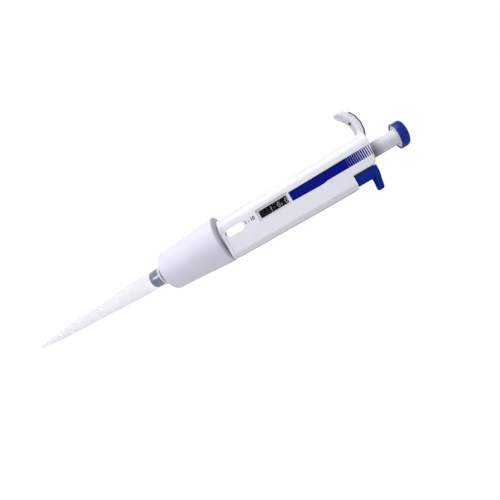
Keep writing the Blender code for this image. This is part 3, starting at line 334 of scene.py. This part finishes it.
# Front strip: a long inlay of dark blue plastic, let into a pocket in the handle and flush with
# its surface. It swells a little to the lever side above the middle, and it ends over the seam.
deep_blue = moulded_plastic("deep_blue", (0.0022, 0.0075, 0.255), (0.0014, 0.0060, 0.230), 0.45)
deep_blue.node_tree.nodes["Principled BSDF"].inputs["Specular IOR Level"].default_value = 0.05
strip = long_strip("front_strip", 0.0, FRONT, FRONT + 0.0009)
break_edges(strip, 0.00005)
hand_over(strip, deep_blue, "grip", "blue_plastic", "front_panel")


# Blank plate: a bright white plastic inlay with round ends, pressed into its recess below the
# window. It stands a tenth of a millimetre proud of the handle.
bright_white = moulded_plastic("bright_white", (0.98, 0.98, 0.98), (0.96, 0.96, 0.97), 0.20)
bright_shader = bright_white.node_tree.nodes["Principled BSDF"]
# The plate's faint glow is painted light, so that it shows brighter than the handle.
bright_shader.inputs["Emission Color"].default_value = (1.0, 1.0, 1.0, 1.0)
bright_shader.inputs["Emission Strength"].default_value = 0.24
plate_low, plate_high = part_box("blank_plate")
plate_end = (plate_high.x - plate_low.x) / 2 - 0.000005
plate = block("plate_inlay", (plate_low.x, FRONT - 0.00010, plate_low.z), plate_high)
round_corners(plate, 1, (plate_end,) * 4, 12)
break_edges(plate, 0.00015)
hand_over(plate, bright_white, "grip", "white_shell", "blank_plate")


# Plate notch: a small hollow moulded in the handle, at which the plate's lower end can be prised
# out. Its shade is painted: a thin dark disc, of which the plate leaves only a crescent to see.
NOTCH_RADIUS = 0.0018
NOTCH_X = -0.00045
NOTCH_RISE = 0.00104
notch = rod(NOTCH_RADIUS, 0.0002, (NOTCH_X, FRONT + 0.00004, plate_low.z + NOTCH_RISE), 32, flat=True)
notch.name = "plate_notch"
break_edges(notch, 0.00003)
notch_painted_shade = moulded_plastic("notch_painted_shade", (0.060, 0.060, 0.085), (0.045, 0.045, 0.068), 0.60)
hand_over(notch, notch_painted_shade, "grip", "strip_grey")


# Base cap: a thin moulding of the same gloss white plastic that closes the handle's lower end,
# with holes for the cylinder's neck and the ejector rod. A fine line parts it from the handle.
ROD_X = 0.0143
ROD_HOLE = 0.0019
NECK_HOLE = 0.0103
CAP_TOP = -0.05865
cap_low, cap_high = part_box("base_cap")
cap = round_corners(block("handle_base", cap_low, (cap_high.x, cap_high.y, CAP_TOP)), 2, CORNERS)
carve(cap, rod(NECK_HOLE, 0.02, (0.0, 0.0, cap_low.z), 96))
carve(cap, rod(ROD_HOLE, 0.02, (ROD_X, 0.0, cap_low.z), 48))
break_edges(cap, 0.00045, 3, 50.0)
hand_over(cap, gloss_white, "grip", "white_shell", "base_cap")


# Top housing with the finger hook: one moulding of gloss white plastic, held in the handle by
# two screws. Its roof falls in three planes to the flat side by the blue block, the hook grows
# out of the other side as a curved horn, and twelve level slots in its front narrow upwards.
SEAM = 0.04020
TOP = 0.06125
BLOCK_SIDE = 0.0097
ROOF_PLANES = ((-0.0080, 0.0596, 0.118), (0.0050, 0.0581, 0.240), (0.0066, 0.0577, 0.550))
head = block("head", (HANDLE_LOW.x, FRONT, SEAM - PAST), (BLOCK_SIDE, -FRONT, TOP))
round_corners(head, 2, (CORNERS[0], 0.0004, 0.0004, CORNERS[3]))
only(head)
bpy.ops.object.mode_set(mode="EDIT")
for x, z, fall in ROOF_PLANES:
    bpy.ops.mesh.select_all(action="SELECT")
    bpy.ops.mesh.bisect(plane_co=(x, 0.0, z), plane_no=(fall, 0.0, 1.0), use_fill=True, clear_outer=True)
bpy.ops.object.mode_set(mode="OBJECT")

HOOK_LINE = (
    (-0.0040, 0.05540, 0.0048, 0.0150),
    (-0.0085, 0.05650, 0.0048, 0.0150),
    (-0.0115, 0.05820, 0.0047, 0.0150),
    (-0.0155, 0.05955, 0.0046, 0.0150),
    (-0.0205, 0.05980, 0.0045, 0.0150),
    (-0.0250, 0.05895, 0.0043, 0.0149),
    (-0.0292, 0.05680, 0.0040, 0.0145),
    (-0.0323, 0.05430, 0.0035, 0.0134),
    (-0.0344, 0.05200, 0.0027, 0.0112),
    (-0.0353, 0.05075, 0.0016, 0.0078),
)


def horn(name, line):
    """A rounded bar drawn along a line, section by section. Each row is x, z, thickness and width."""
    bpy.ops.object.select_all(action="DESELECT")
    bpy.ops.mesh.primitive_circle_add(vertices=40, radius=1.0, fill_type="NGON")
    piece = bpy.context.object
    piece.name = name
    section = [vertex.co.copy() for vertex in piece.data.vertices]
    bpy.ops.object.mode_set(mode="EDIT")
    for index, (x, z, thick, wide) in enumerate(line):
        bpy.ops.mesh.select_mode(type="FACE")
        if index:
            bpy.ops.mesh.extrude_region_move(TRANSFORM_OT_translate={"value": (0.0, 0.0, 0.0)})
        before = Vector(line[max(index - 1, 0)][:2])
        after = Vector(line[min(index + 1, len(line) - 1)][:2])
        along = (after - before).normalized()
        mesh = bmesh.from_edit_mesh(piece.data)
        ring = [vertex for vertex in mesh.verts if vertex.select]
        placed = {}
        for vertex in ring:
            number = min(range(len(section)), key=lambda k: (section[k] - vertex.co).length)
            turn = 2.0 * math.pi * number / len(section)
            u = math.copysign(abs(math.cos(turn)) ** 0.38, math.cos(turn)) * thick / 2
            v = math.copysign(abs(math.sin(turn)) ** 0.22, math.sin(turn)) * wide / 2
            placed[number] = Vector((x - along.y * u, v, z + along.x * u))
            vertex.co = placed[number]
        section = [placed[number] for number in range(len(section))]
        bmesh.update_edit_mesh(piece.data)
    bpy.ops.mesh.select_all(action="SELECT")
    bpy.ops.mesh.normals_make_consistent(inside=False)
    bpy.ops.object.mode_set(mode="OBJECT")
    return piece


carve(head, horn("hook", HOOK_LINE), operation="UNION")
only(head)
melt = head.modifiers.new("one_moulding", "REMESH")
melt.mode = "VOXEL"
melt.voxel_size = 0.00032
melt.use_smooth_shade = True
bpy.ops.object.modifier_apply(modifier=melt.name)
flow = head.modifiers.new("flow", "SMOOTH")
flow.factor = 0.5
flow.iterations = 14
bpy.ops.object.modifier_apply(modifier=flow.name)
only(head)
bpy.ops.object.mode_set(mode="EDIT")
bpy.ops.mesh.select_all(action="SELECT")
bpy.ops.mesh.bisect(plane_co=(0.0, 0.0, SEAM), plane_no=(0.0, 0.0, -1.0), use_fill=True, clear_outer=True)
bpy.ops.object.mode_set(mode="OBJECT")

CORE_SIDE = -0.0140
CORE_TOP = 0.0561
ROOF_HOLE = 0.0061
core = block("core", (CORE_SIDE, FRONT + WALL, SEAM - 0.003), (BLOCK_SIDE - WALL, -FRONT - WALL, CORE_TOP))
carve(head, round_corners(core, 2, (0.0080, 0.0010, 0.0010, 0.0080)))
carve(head, rod(ROOF_HOLE, 0.030, (0.0, 0.0, TOP), 96))

SLOTS = 12
SLOT_PITCH = 0.001434
SLOT_HALF = 0.0035
SLOT_LOWEST = 0.04164
BACKING_FRONT = FRONT + 0.0019


def slot_bars(name, ease, front, back):
    """Bars of the slots' shapes, side by side in one mesh."""
    bars = []
    for index in range(SLOTS):
        tall = SLOT_PITCH * (0.95 - 0.0044 * index ** 2) - 2 * ease
        middle = SLOT_LOWEST + SLOT_PITCH * index
        bars.append(block(name, (-SLOT_HALF + ease, front, middle - tall / 2),
                          (SLOT_HALF - ease, back, middle + tall / 2)))
    only(bars[0])
    for bar in bars[1:]:
        bar.select_set(True)
    bpy.ops.object.join()
    return bars[0]


carve(head, long_strip("strip_notch", POCKET_GAP, FRONT - PAST, POCKET_BACK))
carve(head, slot_bars("slots", 0.0, FRONT - PAST, BACKING_FRONT))
hand_over(head, gloss_white, "grip", "white_shell", "top_housing", sharp=50.0)


# Grip backing: a plate of the same blue plastic as the front strip, fixed behind the housing's
# front wall. Its twelve bars fill the slots, so that the strip fades into the white.
bars = slot_bars("grip_bars", 0.00001, FRONT + 0.00002, BACKING_FRONT + 0.0003)
backing_low, backing_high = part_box("grip_backing")
backing = block("backing", (backing_low.x, BACKING_FRONT, backing_low.z), backing_high)
carve(bars, backing, operation="UNION")
hand_over(bars, deep_blue, "grip", "blue_plastic", "grip_backing")


# Hook strip: a soft dark grey strip laid along the hook, standing a little proud of it. A small
# block of the same dark grey sits in the hook's underside, where it shows as a dark mark.
soft_grey = moulded_plastic("soft_grey", (0.055, 0.050, 0.085), (0.035, 0.032, 0.060), 0.60)
PAD_THICK = 0.0012
PAD_WIDE = 0.0132
pad_line = []
for index in range(2, 7):
    x, z, thick, wide = HOOK_LINE[index]
    run = Vector(HOOK_LINE[index + 1][:2]) - Vector(HOOK_LINE[index - 1][:2])
    run.normalize()
    lift = thick / 2 + 0.0001
    pad_line.append((x + run.y * lift, z - run.x * lift, PAD_THICK, PAD_WIDE))
hand_over(horn("hook_pad", pad_line), soft_grey, "grip", "strip_grey", "hook_strip")

dark_mark = block("hook_dark_mark", (-0.0252, -0.0030, 0.0562), (-0.0230, -0.0006, 0.0580))
round_corners(dark_mark, 2, (0.0008,) * 4, 4)
hand_over(dark_mark, soft_grey, "grip", "strip_grey")


# Counter: black plastic number wheels on the drive shaft, with white figures moulded in all
# round. The figures' feet point to the lever side, so the volume reads up the handle.
wheel_black = moulded_plastic("wheel_black", (0.004, 0.004, 0.005), (0.002, 0.002, 0.003), 0.5)
wheel_black.node_tree.nodes["Principled BSDF"].inputs["Specular IOR Level"].default_value = 0.06
figure_white = moulded_plastic("figure_white", (0.62, 0.62, 0.66), (0.55, 0.55, 0.60), 0.5)


def turned_piece(name, rings, sides=96, closed=True):
    """A round piece drawn ring by ring, as on a lathe. rings are (radius, height). Where the last
    ring isn't joined to the first, it gets a flat cap."""
    bpy.ops.object.select_all(action="DESELECT")
    radius, height = rings[0]
    bpy.ops.mesh.primitive_circle_add(vertices=sides, radius=radius, location=(0.0, 0.0, height))
    piece = bpy.context.object
    piece.name = name
    bpy.ops.object.transform_apply(location=True, rotation=True, scale=True)
    bpy.ops.object.mode_set(mode="EDIT")
    bpy.ops.mesh.select_mode(type="EDGE")
    bpy.ops.mesh.select_all(action="SELECT")
    path = list(rings[1:])
    if closed:
        path.append(rings[0])
    for next_radius, next_height in path:
        bpy.ops.mesh.extrude_edges_move(TRANSFORM_OT_translate={"value": (0.0, 0.0, next_height - height)})
        grow = next_radius / radius
        bpy.ops.transform.resize(value=(grow, grow, 1.0), center_override=(0.0, 0.0, next_height))
        radius, height = next_radius, next_height
    if not closed:
        bpy.ops.mesh.edge_face_add()
    bpy.ops.mesh.select_all(action="SELECT")
    bpy.ops.mesh.remove_doubles(threshold=SAME)
    bpy.ops.mesh.normals_make_consistent(inside=False)
    bpy.ops.object.mode_set(mode="OBJECT")
    return piece


def figures(name, text, size, thickness, spread=0.0, steps=12):
    """Plain figures as a thin solid, lying flat and centred."""
    bpy.ops.object.select_all(action="DESELECT")
    bpy.ops.object.text_add()
    piece = bpy.context.object
    piece.name = name
    piece.data.body = text
    piece.data.size = size
    piece.data.align_x = "CENTER"
    piece.data.align_y = "CENTER"
    piece.data.extrude = thickness
    piece.data.offset = spread
    piece.data.resolution_u = steps
    bpy.ops.object.convert(target="MESH")
    only(piece)
    return piece


WHEEL_RADIUS = 0.0100
WHEEL_BORE = 0.0078
WHEEL_RIM = 0.0003
FIGURE_SIZE = 0.0057
FIGURE_SQUEEZE = 0.80
FIGURE_HALF = 0.00004
FIGURE_LIFT = 0.00003


def number_wheel(name, node, body, figure_height=0.0, shown=None):
    """A wheel from its CAD sizes, blank or with ten figures round its rim and one shown in front."""
    low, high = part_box(node)
    rings = [(WHEEL_BORE, low.z), (WHEEL_RADIUS - WHEEL_RIM, low.z), (WHEEL_RADIUS, low.z + WHEEL_RIM),
             (WHEEL_RADIUS, high.z - WHEEL_RIM), (WHEEL_RADIUS - WHEEL_RIM, high.z), (WHEEL_BORE, high.z)]
    wheel = turned_piece(name, rings, 120)
    hand_over(wheel, wheel_black, body, "wheel_black", node)
    if shown is None:
        return
    for number in range(10):
        figure = figures(f"{name}_figure_{number}", str(number), FIGURE_SIZE, FIGURE_HALF, steps=6)
        bpy.ops.object.mode_set(mode="EDIT")
        bpy.ops.mesh.select_all(action="SELECT")
        bpy.ops.mesh.subdivide(number_cuts=1)
        bpy.ops.object.mode_set(mode="OBJECT")
        points = [vertex.co.copy() for vertex in figure.data.vertices]
        middle_x = (min(p.x for p in points) + max(p.x for p in points)) / 2
        middle_y = (min(p.y for p in points) + max(p.y for p in points)) / 2
        turn = -math.pi / 2 + math.radians(36.0) * ((number - shown) % 10)
        for vertex in figure.data.vertices:
            round_rim = turn - (vertex.co.y - middle_y) / WHEEL_RADIUS
            out = WHEEL_RADIUS + FIGURE_LIFT + vertex.co.z
            up = figure_height + (vertex.co.x - middle_x) * FIGURE_SQUEEZE
            vertex.co = (out * math.cos(round_rim), out * math.sin(round_rim), up)
        hand_over(figure, figure_white, body, "wheel_black")


number_wheel("blank_wheel", "counter_wheel_blank", "grip")
number_wheel("tens_wheel", "counter_wheel_tens", "tens_wheel", -0.01895, 1)
number_wheel("units_wheel", "counter_wheel_units", "units_wheel", -0.01285, 0)
number_wheel("tenths_wheel", "counter_wheel_tenths", "dial_drive", -0.00680, 0)


# Window pane: a thin clear plastic cover pressed into its recess over the counter, flush with
# the handle. The decimal point is printed on its inner face.
pane_clear = moulded_plastic("pane_clear", (0.04, 0.05, 0.08), (0.03, 0.04, 0.06), 0.06)
pane_clear.node_tree.nodes["Principled BSDF"].inputs["Alpha"].default_value = 0.05
pane_low, pane_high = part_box("counter_lens")
pane = round_corners(block("window_pane", pane_low, pane_high), 1, (0.0008,) * 4, 6)
break_edges(pane, 0.00015)
hand_over(pane, pane_clear, "grip", "clear_lens", "counter_lens")

INK = 0.00006
POINT_RADIUS = 0.00042
POINT_X, POINT_Z = 0.00120, -0.01026
point = rod(POINT_RADIUS, INK, (POINT_X, pane_high.y + 0.00005, POINT_Z), 24, flat=True)
point.name = "decimal_point"
hand_over(point, figure_white, "grip", "wheel_black")


# Volume range: small plain figures in dark blue ink, printed on the handle between the window
# and the blank plate, so that they read up the handle like the counter.
print_blue = moulded_plastic("print_blue", (0.020, 0.022, 0.070), (0.014, 0.016, 0.055), 0.45)
RANGE_SIZE = 0.0036
RANGE_X, RANGE_Z = -0.0006, -0.0367
print_range = figures("range_figures", "1 - 10", RANGE_SIZE, INK / 2, spread=0.00013)
print_range.data.transform(Matrix.Translation((RANGE_X, FRONT - 0.00002, RANGE_Z))
                           @ Matrix.Rotation(math.pi / 2, 4, "X") @ Matrix.Rotation(math.pi / 2, 4, "Z"))
hand_over(print_range, print_blue, "grip", "blue_plastic")


# Push button: a blue plastic cup with a rounded top edge, pressed on to a white collar. Both
# turn and go down with the white tube, which a white guide in the housing's roof holds upright.
button_blue = moulded_plastic("button_blue", (0.0040, 0.0180, 0.310), (0.0030, 0.0150, 0.280), 0.20)
button_low, button_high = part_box("push_button")
outside = (button_high.x - button_low.x) / 2
button = turned_piece("thumb_button", [
    (outside - 0.0010, button_low.z + 0.0040),
    (outside - 0.0010, button_low.z),
    (outside - 0.0003, button_low.z),
    (outside - 0.0001, button_low.z + 0.0001),
    (outside, button_low.z + 0.0004),
    (outside, button_high.z - 0.0024),
    (outside - 0.0002, button_high.z - 0.0016),
    (outside - 0.0006, button_high.z - 0.0009),
    (outside - 0.0012, button_high.z - 0.0004),
    (outside - 0.0020, button_high.z - 0.0001),
    (outside - 0.0028, button_high.z),
    (0.0020, button_high.z),
], 128, closed=False)
hand_over(button, button_blue, "dial", "blue_plastic", "push_button")

TUBE_BORE = 0.0028
TUBE_RADIUS = 0.0054
ROUND_TUBE = 0.0057
COLLAR_RADIUS = 0.0081
GUIDE_RADIUS = 0.0076
collar_low, collar_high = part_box("button_collar")
collar = turned_piece("thumb_button_collar", [
    (ROUND_TUBE, collar_low.z + 0.0012), (ROUND_TUBE, collar_low.z), (0.0074, collar_low.z),
    (COLLAR_RADIUS, collar_low.z + 0.0003), (COLLAR_RADIUS, collar_high.z), (ROUND_TUBE, collar_high.z),
])
hand_over(collar, gloss_white, "dial", "white_shell", "button_collar")

# The tube's foot is painted grey as painted shade, where the dark bore below it shades the thin white wall.
tube_white = moulded_plastic("tube_white", (0.80, 0.81, 0.90), (0.78, 0.79, 0.88), 0.24)
tube_tree = tube_white.node_tree
tube_shader = tube_tree.nodes["Principled BSDF"]
along_tube = tube_tree.nodes.new("ShaderNodeSeparateXYZ")
# Painted shade: the grey is strongest at the tube's foot and fades out up the tube.
foot_shade_fade = tube_tree.nodes.new("ShaderNodeMapRange")
foot_shade_fade.inputs["From Min"].default_value = 0.0600
foot_shade_fade.inputs["From Max"].default_value = 0.0675
foot_shade_fade.inputs["To Min"].default_value = 0.96
foot_shade_fade.inputs["To Max"].default_value = 0.0
painted_foot_shade = tube_tree.nodes.new("ShaderNodeMix")
painted_foot_shade.data_type = "RGBA"
painted_foot_shade.inputs["B"].default_value = (0.10, 0.12, 0.13, 1.0)
plain = tube_shader.inputs["Base Color"].links[0].from_socket
tube_tree.links.new(tube_tree.nodes["Texture Coordinate"].outputs["Object"], along_tube.inputs["Vector"])
tube_tree.links.new(along_tube.outputs["Z"], foot_shade_fade.inputs["Value"])
tube_tree.links.new(foot_shade_fade.outputs["Result"], painted_foot_shade.inputs["Factor"])
tube_tree.links.new(plain, painted_foot_shade.inputs["A"])
tube_tree.links.new(painted_foot_shade.outputs["Result"], tube_shader.inputs["Base Color"])
tube_low, tube_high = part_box("plunger_tube")
tube = turned_piece("thumb_tube", [
    (TUBE_BORE, tube_low.z), (TUBE_RADIUS - 0.0003, tube_low.z), (TUBE_RADIUS, tube_low.z + 0.0003),
    (TUBE_RADIUS, tube_high.z), (TUBE_BORE, tube_high.z),
])
hand_over(tube, tube_white, "dial", "white_shell", "plunger_tube")

bush_low, bush_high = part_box("top_bush")
bush = turned_piece("tube_guide", [
    (ROUND_TUBE, bush_low.z), (GUIDE_RADIUS, bush_low.z), (GUIDE_RADIUS, bush_high.z - 0.0003),
    (0.0073, bush_high.z), (0.0060, bush_high.z), (ROUND_TUBE, bush_high.z - 0.0003),
])
hand_over(bush, gloss_white, "grip", "white_shell", "top_bush")


# Ejector button: one blue plastic moulding, screwed to the ejector rod. Its block slides in the
# handle's open corner, and its thumb lever slopes down to a round end.
lever_blue = moulded_plastic("lever_blue", (0.0125, 0.0340, 0.320), (0.0100, 0.0290, 0.290), 0.32)
lever_blue.node_tree.nodes["Principled BSDF"].inputs["Specular IOR Level"].default_value = 0.0
LEVER_INSIDE, LEVER_OUTSIDE = 0.0100, 0.0172
LEVER_HALF = 0.0112
LEVER_TOP = 0.0545
lever_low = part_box("ejector_button")[0]
thumb = block("thumb_lever", (LEVER_INSIDE, -LEVER_HALF, lever_low.z),
              (LEVER_OUTSIDE, LEVER_HALF, LEVER_TOP))
round_corners(thumb, 2, (0.0003, 0.0044, 0.0044, 0.0003))
LEVER_LINE = (
    (0.0102, 0.05500, 0.0036, 0.0226),
    (0.0150, 0.05488, 0.0036, 0.0226),
    (0.0172, 0.05474, 0.0036, 0.0200),
    (0.0200, 0.05445, 0.0036, 0.0156),
    (0.0235, 0.05400, 0.0035, 0.0142),
    (0.0252, 0.05378, 0.0034, 0.0136),
    (0.0262, 0.05364, 0.0028, 0.0124),
    (0.0267, 0.05357, 0.0014, 0.0106),
)
carve(thumb, horn("thumb_plate", LEVER_LINE), operation="UNION")
break_edges(thumb, 0.0003, 2, 60.0)
hand_over(thumb, lever_blue, "ejector", "lever_blue", "ejector_button")


# Ejector sleeve: a wide cup of matt off-white plastic with a deck on top, where the ejector rod
# is fixed. It draws in towards its foot, which has a mouth just wide enough for the nozzle.
matt_lilac = moulded_plastic("matt_lilac", (0.82, 0.83, 0.94), (0.80, 0.81, 0.92), 0.50, 0.00002, 1000.0)
sleeve_low, sleeve_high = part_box("ejector_sleeve")
foot = sleeve_low.z + 0.0017
deck = sleeve_high.z
MOUTH = 0.0080
FOOT_FLAT, FOOT_RADIUS, FOOT_ROUND = 0.0134, 0.0168, 0.0028
DECK_SPREAD = 0.00265
DECK_BORE, DECK_THICK = 0.0115, 0.0024
shoulder = foot + FOOT_ROUND
rings = [(MOUTH, foot + 0.0005), (MOUTH + 0.0003, foot), (FOOT_FLAT, foot)]
for step in range(1, 9):
    turn = math.radians(90.0 * step / 8)
    rings.append((FOOT_FLAT + (FOOT_RADIUS - FOOT_FLAT) * math.sin(turn),
                  foot + FOOT_ROUND * (1.0 - math.cos(turn))))
for step in range(1, 25):
    share = step / 24
    radius = FOOT_RADIUS + DECK_SPREAD * (0.72 * share + 0.28 * math.sin(math.pi / 2 * share) ** 3)
    rings.append((radius, shoulder + (deck - 0.0009 - shoulder) * share))
rings += [(0.01937, deck - 0.0005), (0.01915, deck - 0.0002), (0.0188, deck), (DECK_BORE, deck),
          (DECK_BORE, deck - DECK_THICK), (0.0178, deck - DECK_THICK), (0.0154, foot + 0.0060),
          (0.0140, foot + 0.0022), (MOUTH, foot + 0.0022)]
sleeve = turned_piece("wide_sleeve", rings, 160)
carve(sleeve, rod(ROD_HOLE, 0.010, (ROD_X, 0.0, deck), 48))
hand_over(sleeve, matt_lilac, "ejector", "white_matte", "ejector_sleeve")


# Nozzle: a plain drum turned from dark steel and polished, screwed to the foot of the cylinder.
# The tip is pushed on to it, and its deep mouth holds the filter.
def polished_metal(name, pale, deep, roughness):
    """Turned metal with fine rings and a slightly uneven polish."""
    material = moulded_plastic(name, pale, deep, roughness, 0.000004, 2200.0)
    material.node_tree.nodes["Principled BSDF"].inputs["Metallic"].default_value = 1.0
    return material


dark_steel = polished_metal("dark_steel", (0.23, 0.26, 0.35), (0.17, 0.20, 0.28), 0.10)
nozzle_low, nozzle_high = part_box("nozzle")
drum = nozzle_low.z - 0.0007
DRUM_TOP = -0.1175
DRUM_RADIUS = 0.0074
STEM, BORE, FILTER_BORE = 0.0050, 0.0018, 0.0052
nozzle = turned_piece("nozzle_drum", [
    (BORE, nozzle_high.z), (STEM, nozzle_high.z), (STEM, DRUM_TOP), (DRUM_RADIUS, DRUM_TOP),
    (DRUM_RADIUS, drum + 0.0045), (0.0071, drum + 0.0010), (0.0068, drum + 0.0003), (0.0062, drum),
    (FILTER_BORE, drum), (FILTER_BORE, drum + 0.0070), (BORE, drum + 0.0070),
], 128)
hand_over(nozzle, dark_steel, "grip", "steel", "nozzle")


# Disposable tip: one thin moulding of milky polypropylene, a long cone with a thicker rim. It is
# pushed on to the nozzle. Its wall looks denser low down, at the edges, and in the narrow band
# where it grips the nozzle.
milky = moulded_plastic("milky_tip", (0.93, 0.92, 0.99), (0.91, 0.90, 0.97), 0.22, 0.000006, 700.0)
milky_tree = milky.node_tree
edge = milky_tree.nodes.new("ShaderNodeLayerWeight")
edge.inputs["Blend"].default_value = 0.35
rim = milky_tree.nodes.new("ShaderNodeMapRange")
rim.inputs["To Min"].default_value = 0.0
rim.inputs["To Max"].default_value = 0.18
along_tip = milky_tree.nodes.new("ShaderNodeSeparateXYZ")
up_the_tip = milky_tree.nodes.new("ShaderNodeMapRange")
up_the_tip.inputs["From Min"].default_value = -0.2765
up_the_tip.inputs["From Max"].default_value = -0.1216
CONE_WALL, THIN_WALL, BAND_WALL = 0.23, 0.05, 0.85
BAND = 0.9787
wall = milky_tree.nodes.new("ShaderNodeValToRGB")
wall.color_ramp.elements[0].position = 0.86
wall.color_ramp.elements[0].color = (CONE_WALL, CONE_WALL, CONE_WALL, 1.0)
wall.color_ramp.elements[1].position = 0.91
wall.color_ramp.elements[1].color = (THIN_WALL, THIN_WALL, THIN_WALL, 1.0)
for position, shade in ((BAND - 0.003, THIN_WALL), (BAND - 0.002, BAND_WALL),
                        (BAND + 0.002, BAND_WALL), (BAND + 0.003, THIN_WALL)):
    stop = wall.color_ramp.elements.new(position)
    stop.color = (shade, shade, shade, 1.0)
density = milky_tree.nodes.new("ShaderNodeMath")
density.operation = "ADD"
density.use_clamp = True
milky_tree.links.new(milky_tree.nodes["Texture Coordinate"].outputs["Object"], along_tip.inputs["Vector"])
milky_tree.links.new(along_tip.outputs["Z"], up_the_tip.inputs["Value"])
milky_tree.links.new(up_the_tip.outputs["Result"], wall.inputs["Fac"])
milky_tree.links.new(edge.outputs["Facing"], rim.inputs["Value"])
milky_tree.links.new(wall.outputs["Color"], density.inputs[0])
milky_tree.links.new(rim.outputs["Result"], density.inputs[1])
milky_tree.links.new(density.outputs[0], milky_tree.nodes["Principled BSDF"].inputs["Alpha"])
tip_low, tip_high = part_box("pipette_tip")
TIP_SHAPE = ((0.0000, 0.0011), (0.0090, 0.0023), (0.0240, 0.0040), (0.0380, 0.0049), (0.0550, 0.0054),
             (0.0750, 0.0059), (0.0930, 0.0067), (0.1080, 0.0074), (0.1220, 0.0083), (0.1500, 0.00865))


def tip_radius(height):
    """The tip's outer radius at a height above its orifice."""
    for (low, small), (high, large) in zip(TIP_SHAPE, TIP_SHAPE[1:]):
        if height <= high:
            share = (height - low) / (high - low)
            return small + (large - small) * share
    return TIP_SHAPE[-1][1]


EASE = 0.004
RIM_RADIUS = 0.0090
TIP_WALL = 0.0008
tip_length = tip_high.z - tip_low.z
outer = []
for step in range(58):
    rise = tip_length * step / 60
    radius = tip_radius(rise)
    if rise > EASE:
        radius = (tip_radius(rise - EASE) + radius + tip_radius(rise + EASE)) / 3
    outer.append((radius, tip_low.z + rise))
inner = [(radius - min(TIP_WALL, radius * 0.45), rise) for radius, rise in reversed(outer)]
rim_rings = [(RIM_RADIUS - 0.0002, tip_high.z - 0.0046), (RIM_RADIUS, tip_high.z - 0.0042),
             (RIM_RADIUS, tip_high.z - 0.0003), (RIM_RADIUS - 0.0002, tip_high.z),
             (RIM_RADIUS - 0.0010, tip_high.z), (RIM_RADIUS - 0.0011, tip_high.z - 0.0003)]
tip = turned_piece("clear_tip", outer + rim_rings + inner, 128)
hand_over(tip, milky, "tip", "tip_plastic", "pipette_tip", sharp=60.0)


# Inner pieces: the piston and its cylinder, the stops and springs, the counter's gear and the
# ejector rod keep their CAD shape. They are of engineering plastic, of drawn and turned steel
# and spring wire, of rubber, and the filter is of porous felt.
inner_grey = moulded_plastic("inner_grey", (0.60, 0.61, 0.64), (0.54, 0.55, 0.59), 0.5)
bright_steel = polished_metal("bright_steel", (0.62, 0.63, 0.66), (0.52, 0.53, 0.56), 0.22)
spring_wire = polished_metal("spring_wire", (0.48, 0.49, 0.52), (0.38, 0.39, 0.42), 0.32)
black_rubber = moulded_plastic("black_rubber", (0.030, 0.030, 0.034), (0.020, 0.020, 0.024), 0.75)
filter_felt = moulded_plastic("filter_felt", (0.84, 0.84, 0.80), (0.74, 0.74, 0.70), 0.95, 0.00006, 500.0)
KEPT = {
    inner_grey: ("counter_lower_plate", "counter_upper_plate", "shaft_bearing", "ejector_guide",
                 "volume_nut", "transfer_pinion_tens", "transfer_pinion_units", "cylinder_head", "cylinder",
                 "piston", "stop_collar"),
    bright_steel: ("piston_rod", "thrust_washer", "stop_ring", "neck_nut", "drive_shaft", "pinion_shaft",
                   "ejector_rod", "ejector_rod_nut", "housing_screw_left", "housing_screw_right"),
    spring_wire: ("plunger_spring", "blow_out_spring", "ejector_spring"),
    black_rubber: ("piston_seal", "nozzle_gasket"),
    filter_felt: ("nozzle_filter",),
}
for material, names in KEPT.items():
    for name in names:
        nodes[name].data.materials.clear()
        nodes[name].data.materials.append(material)
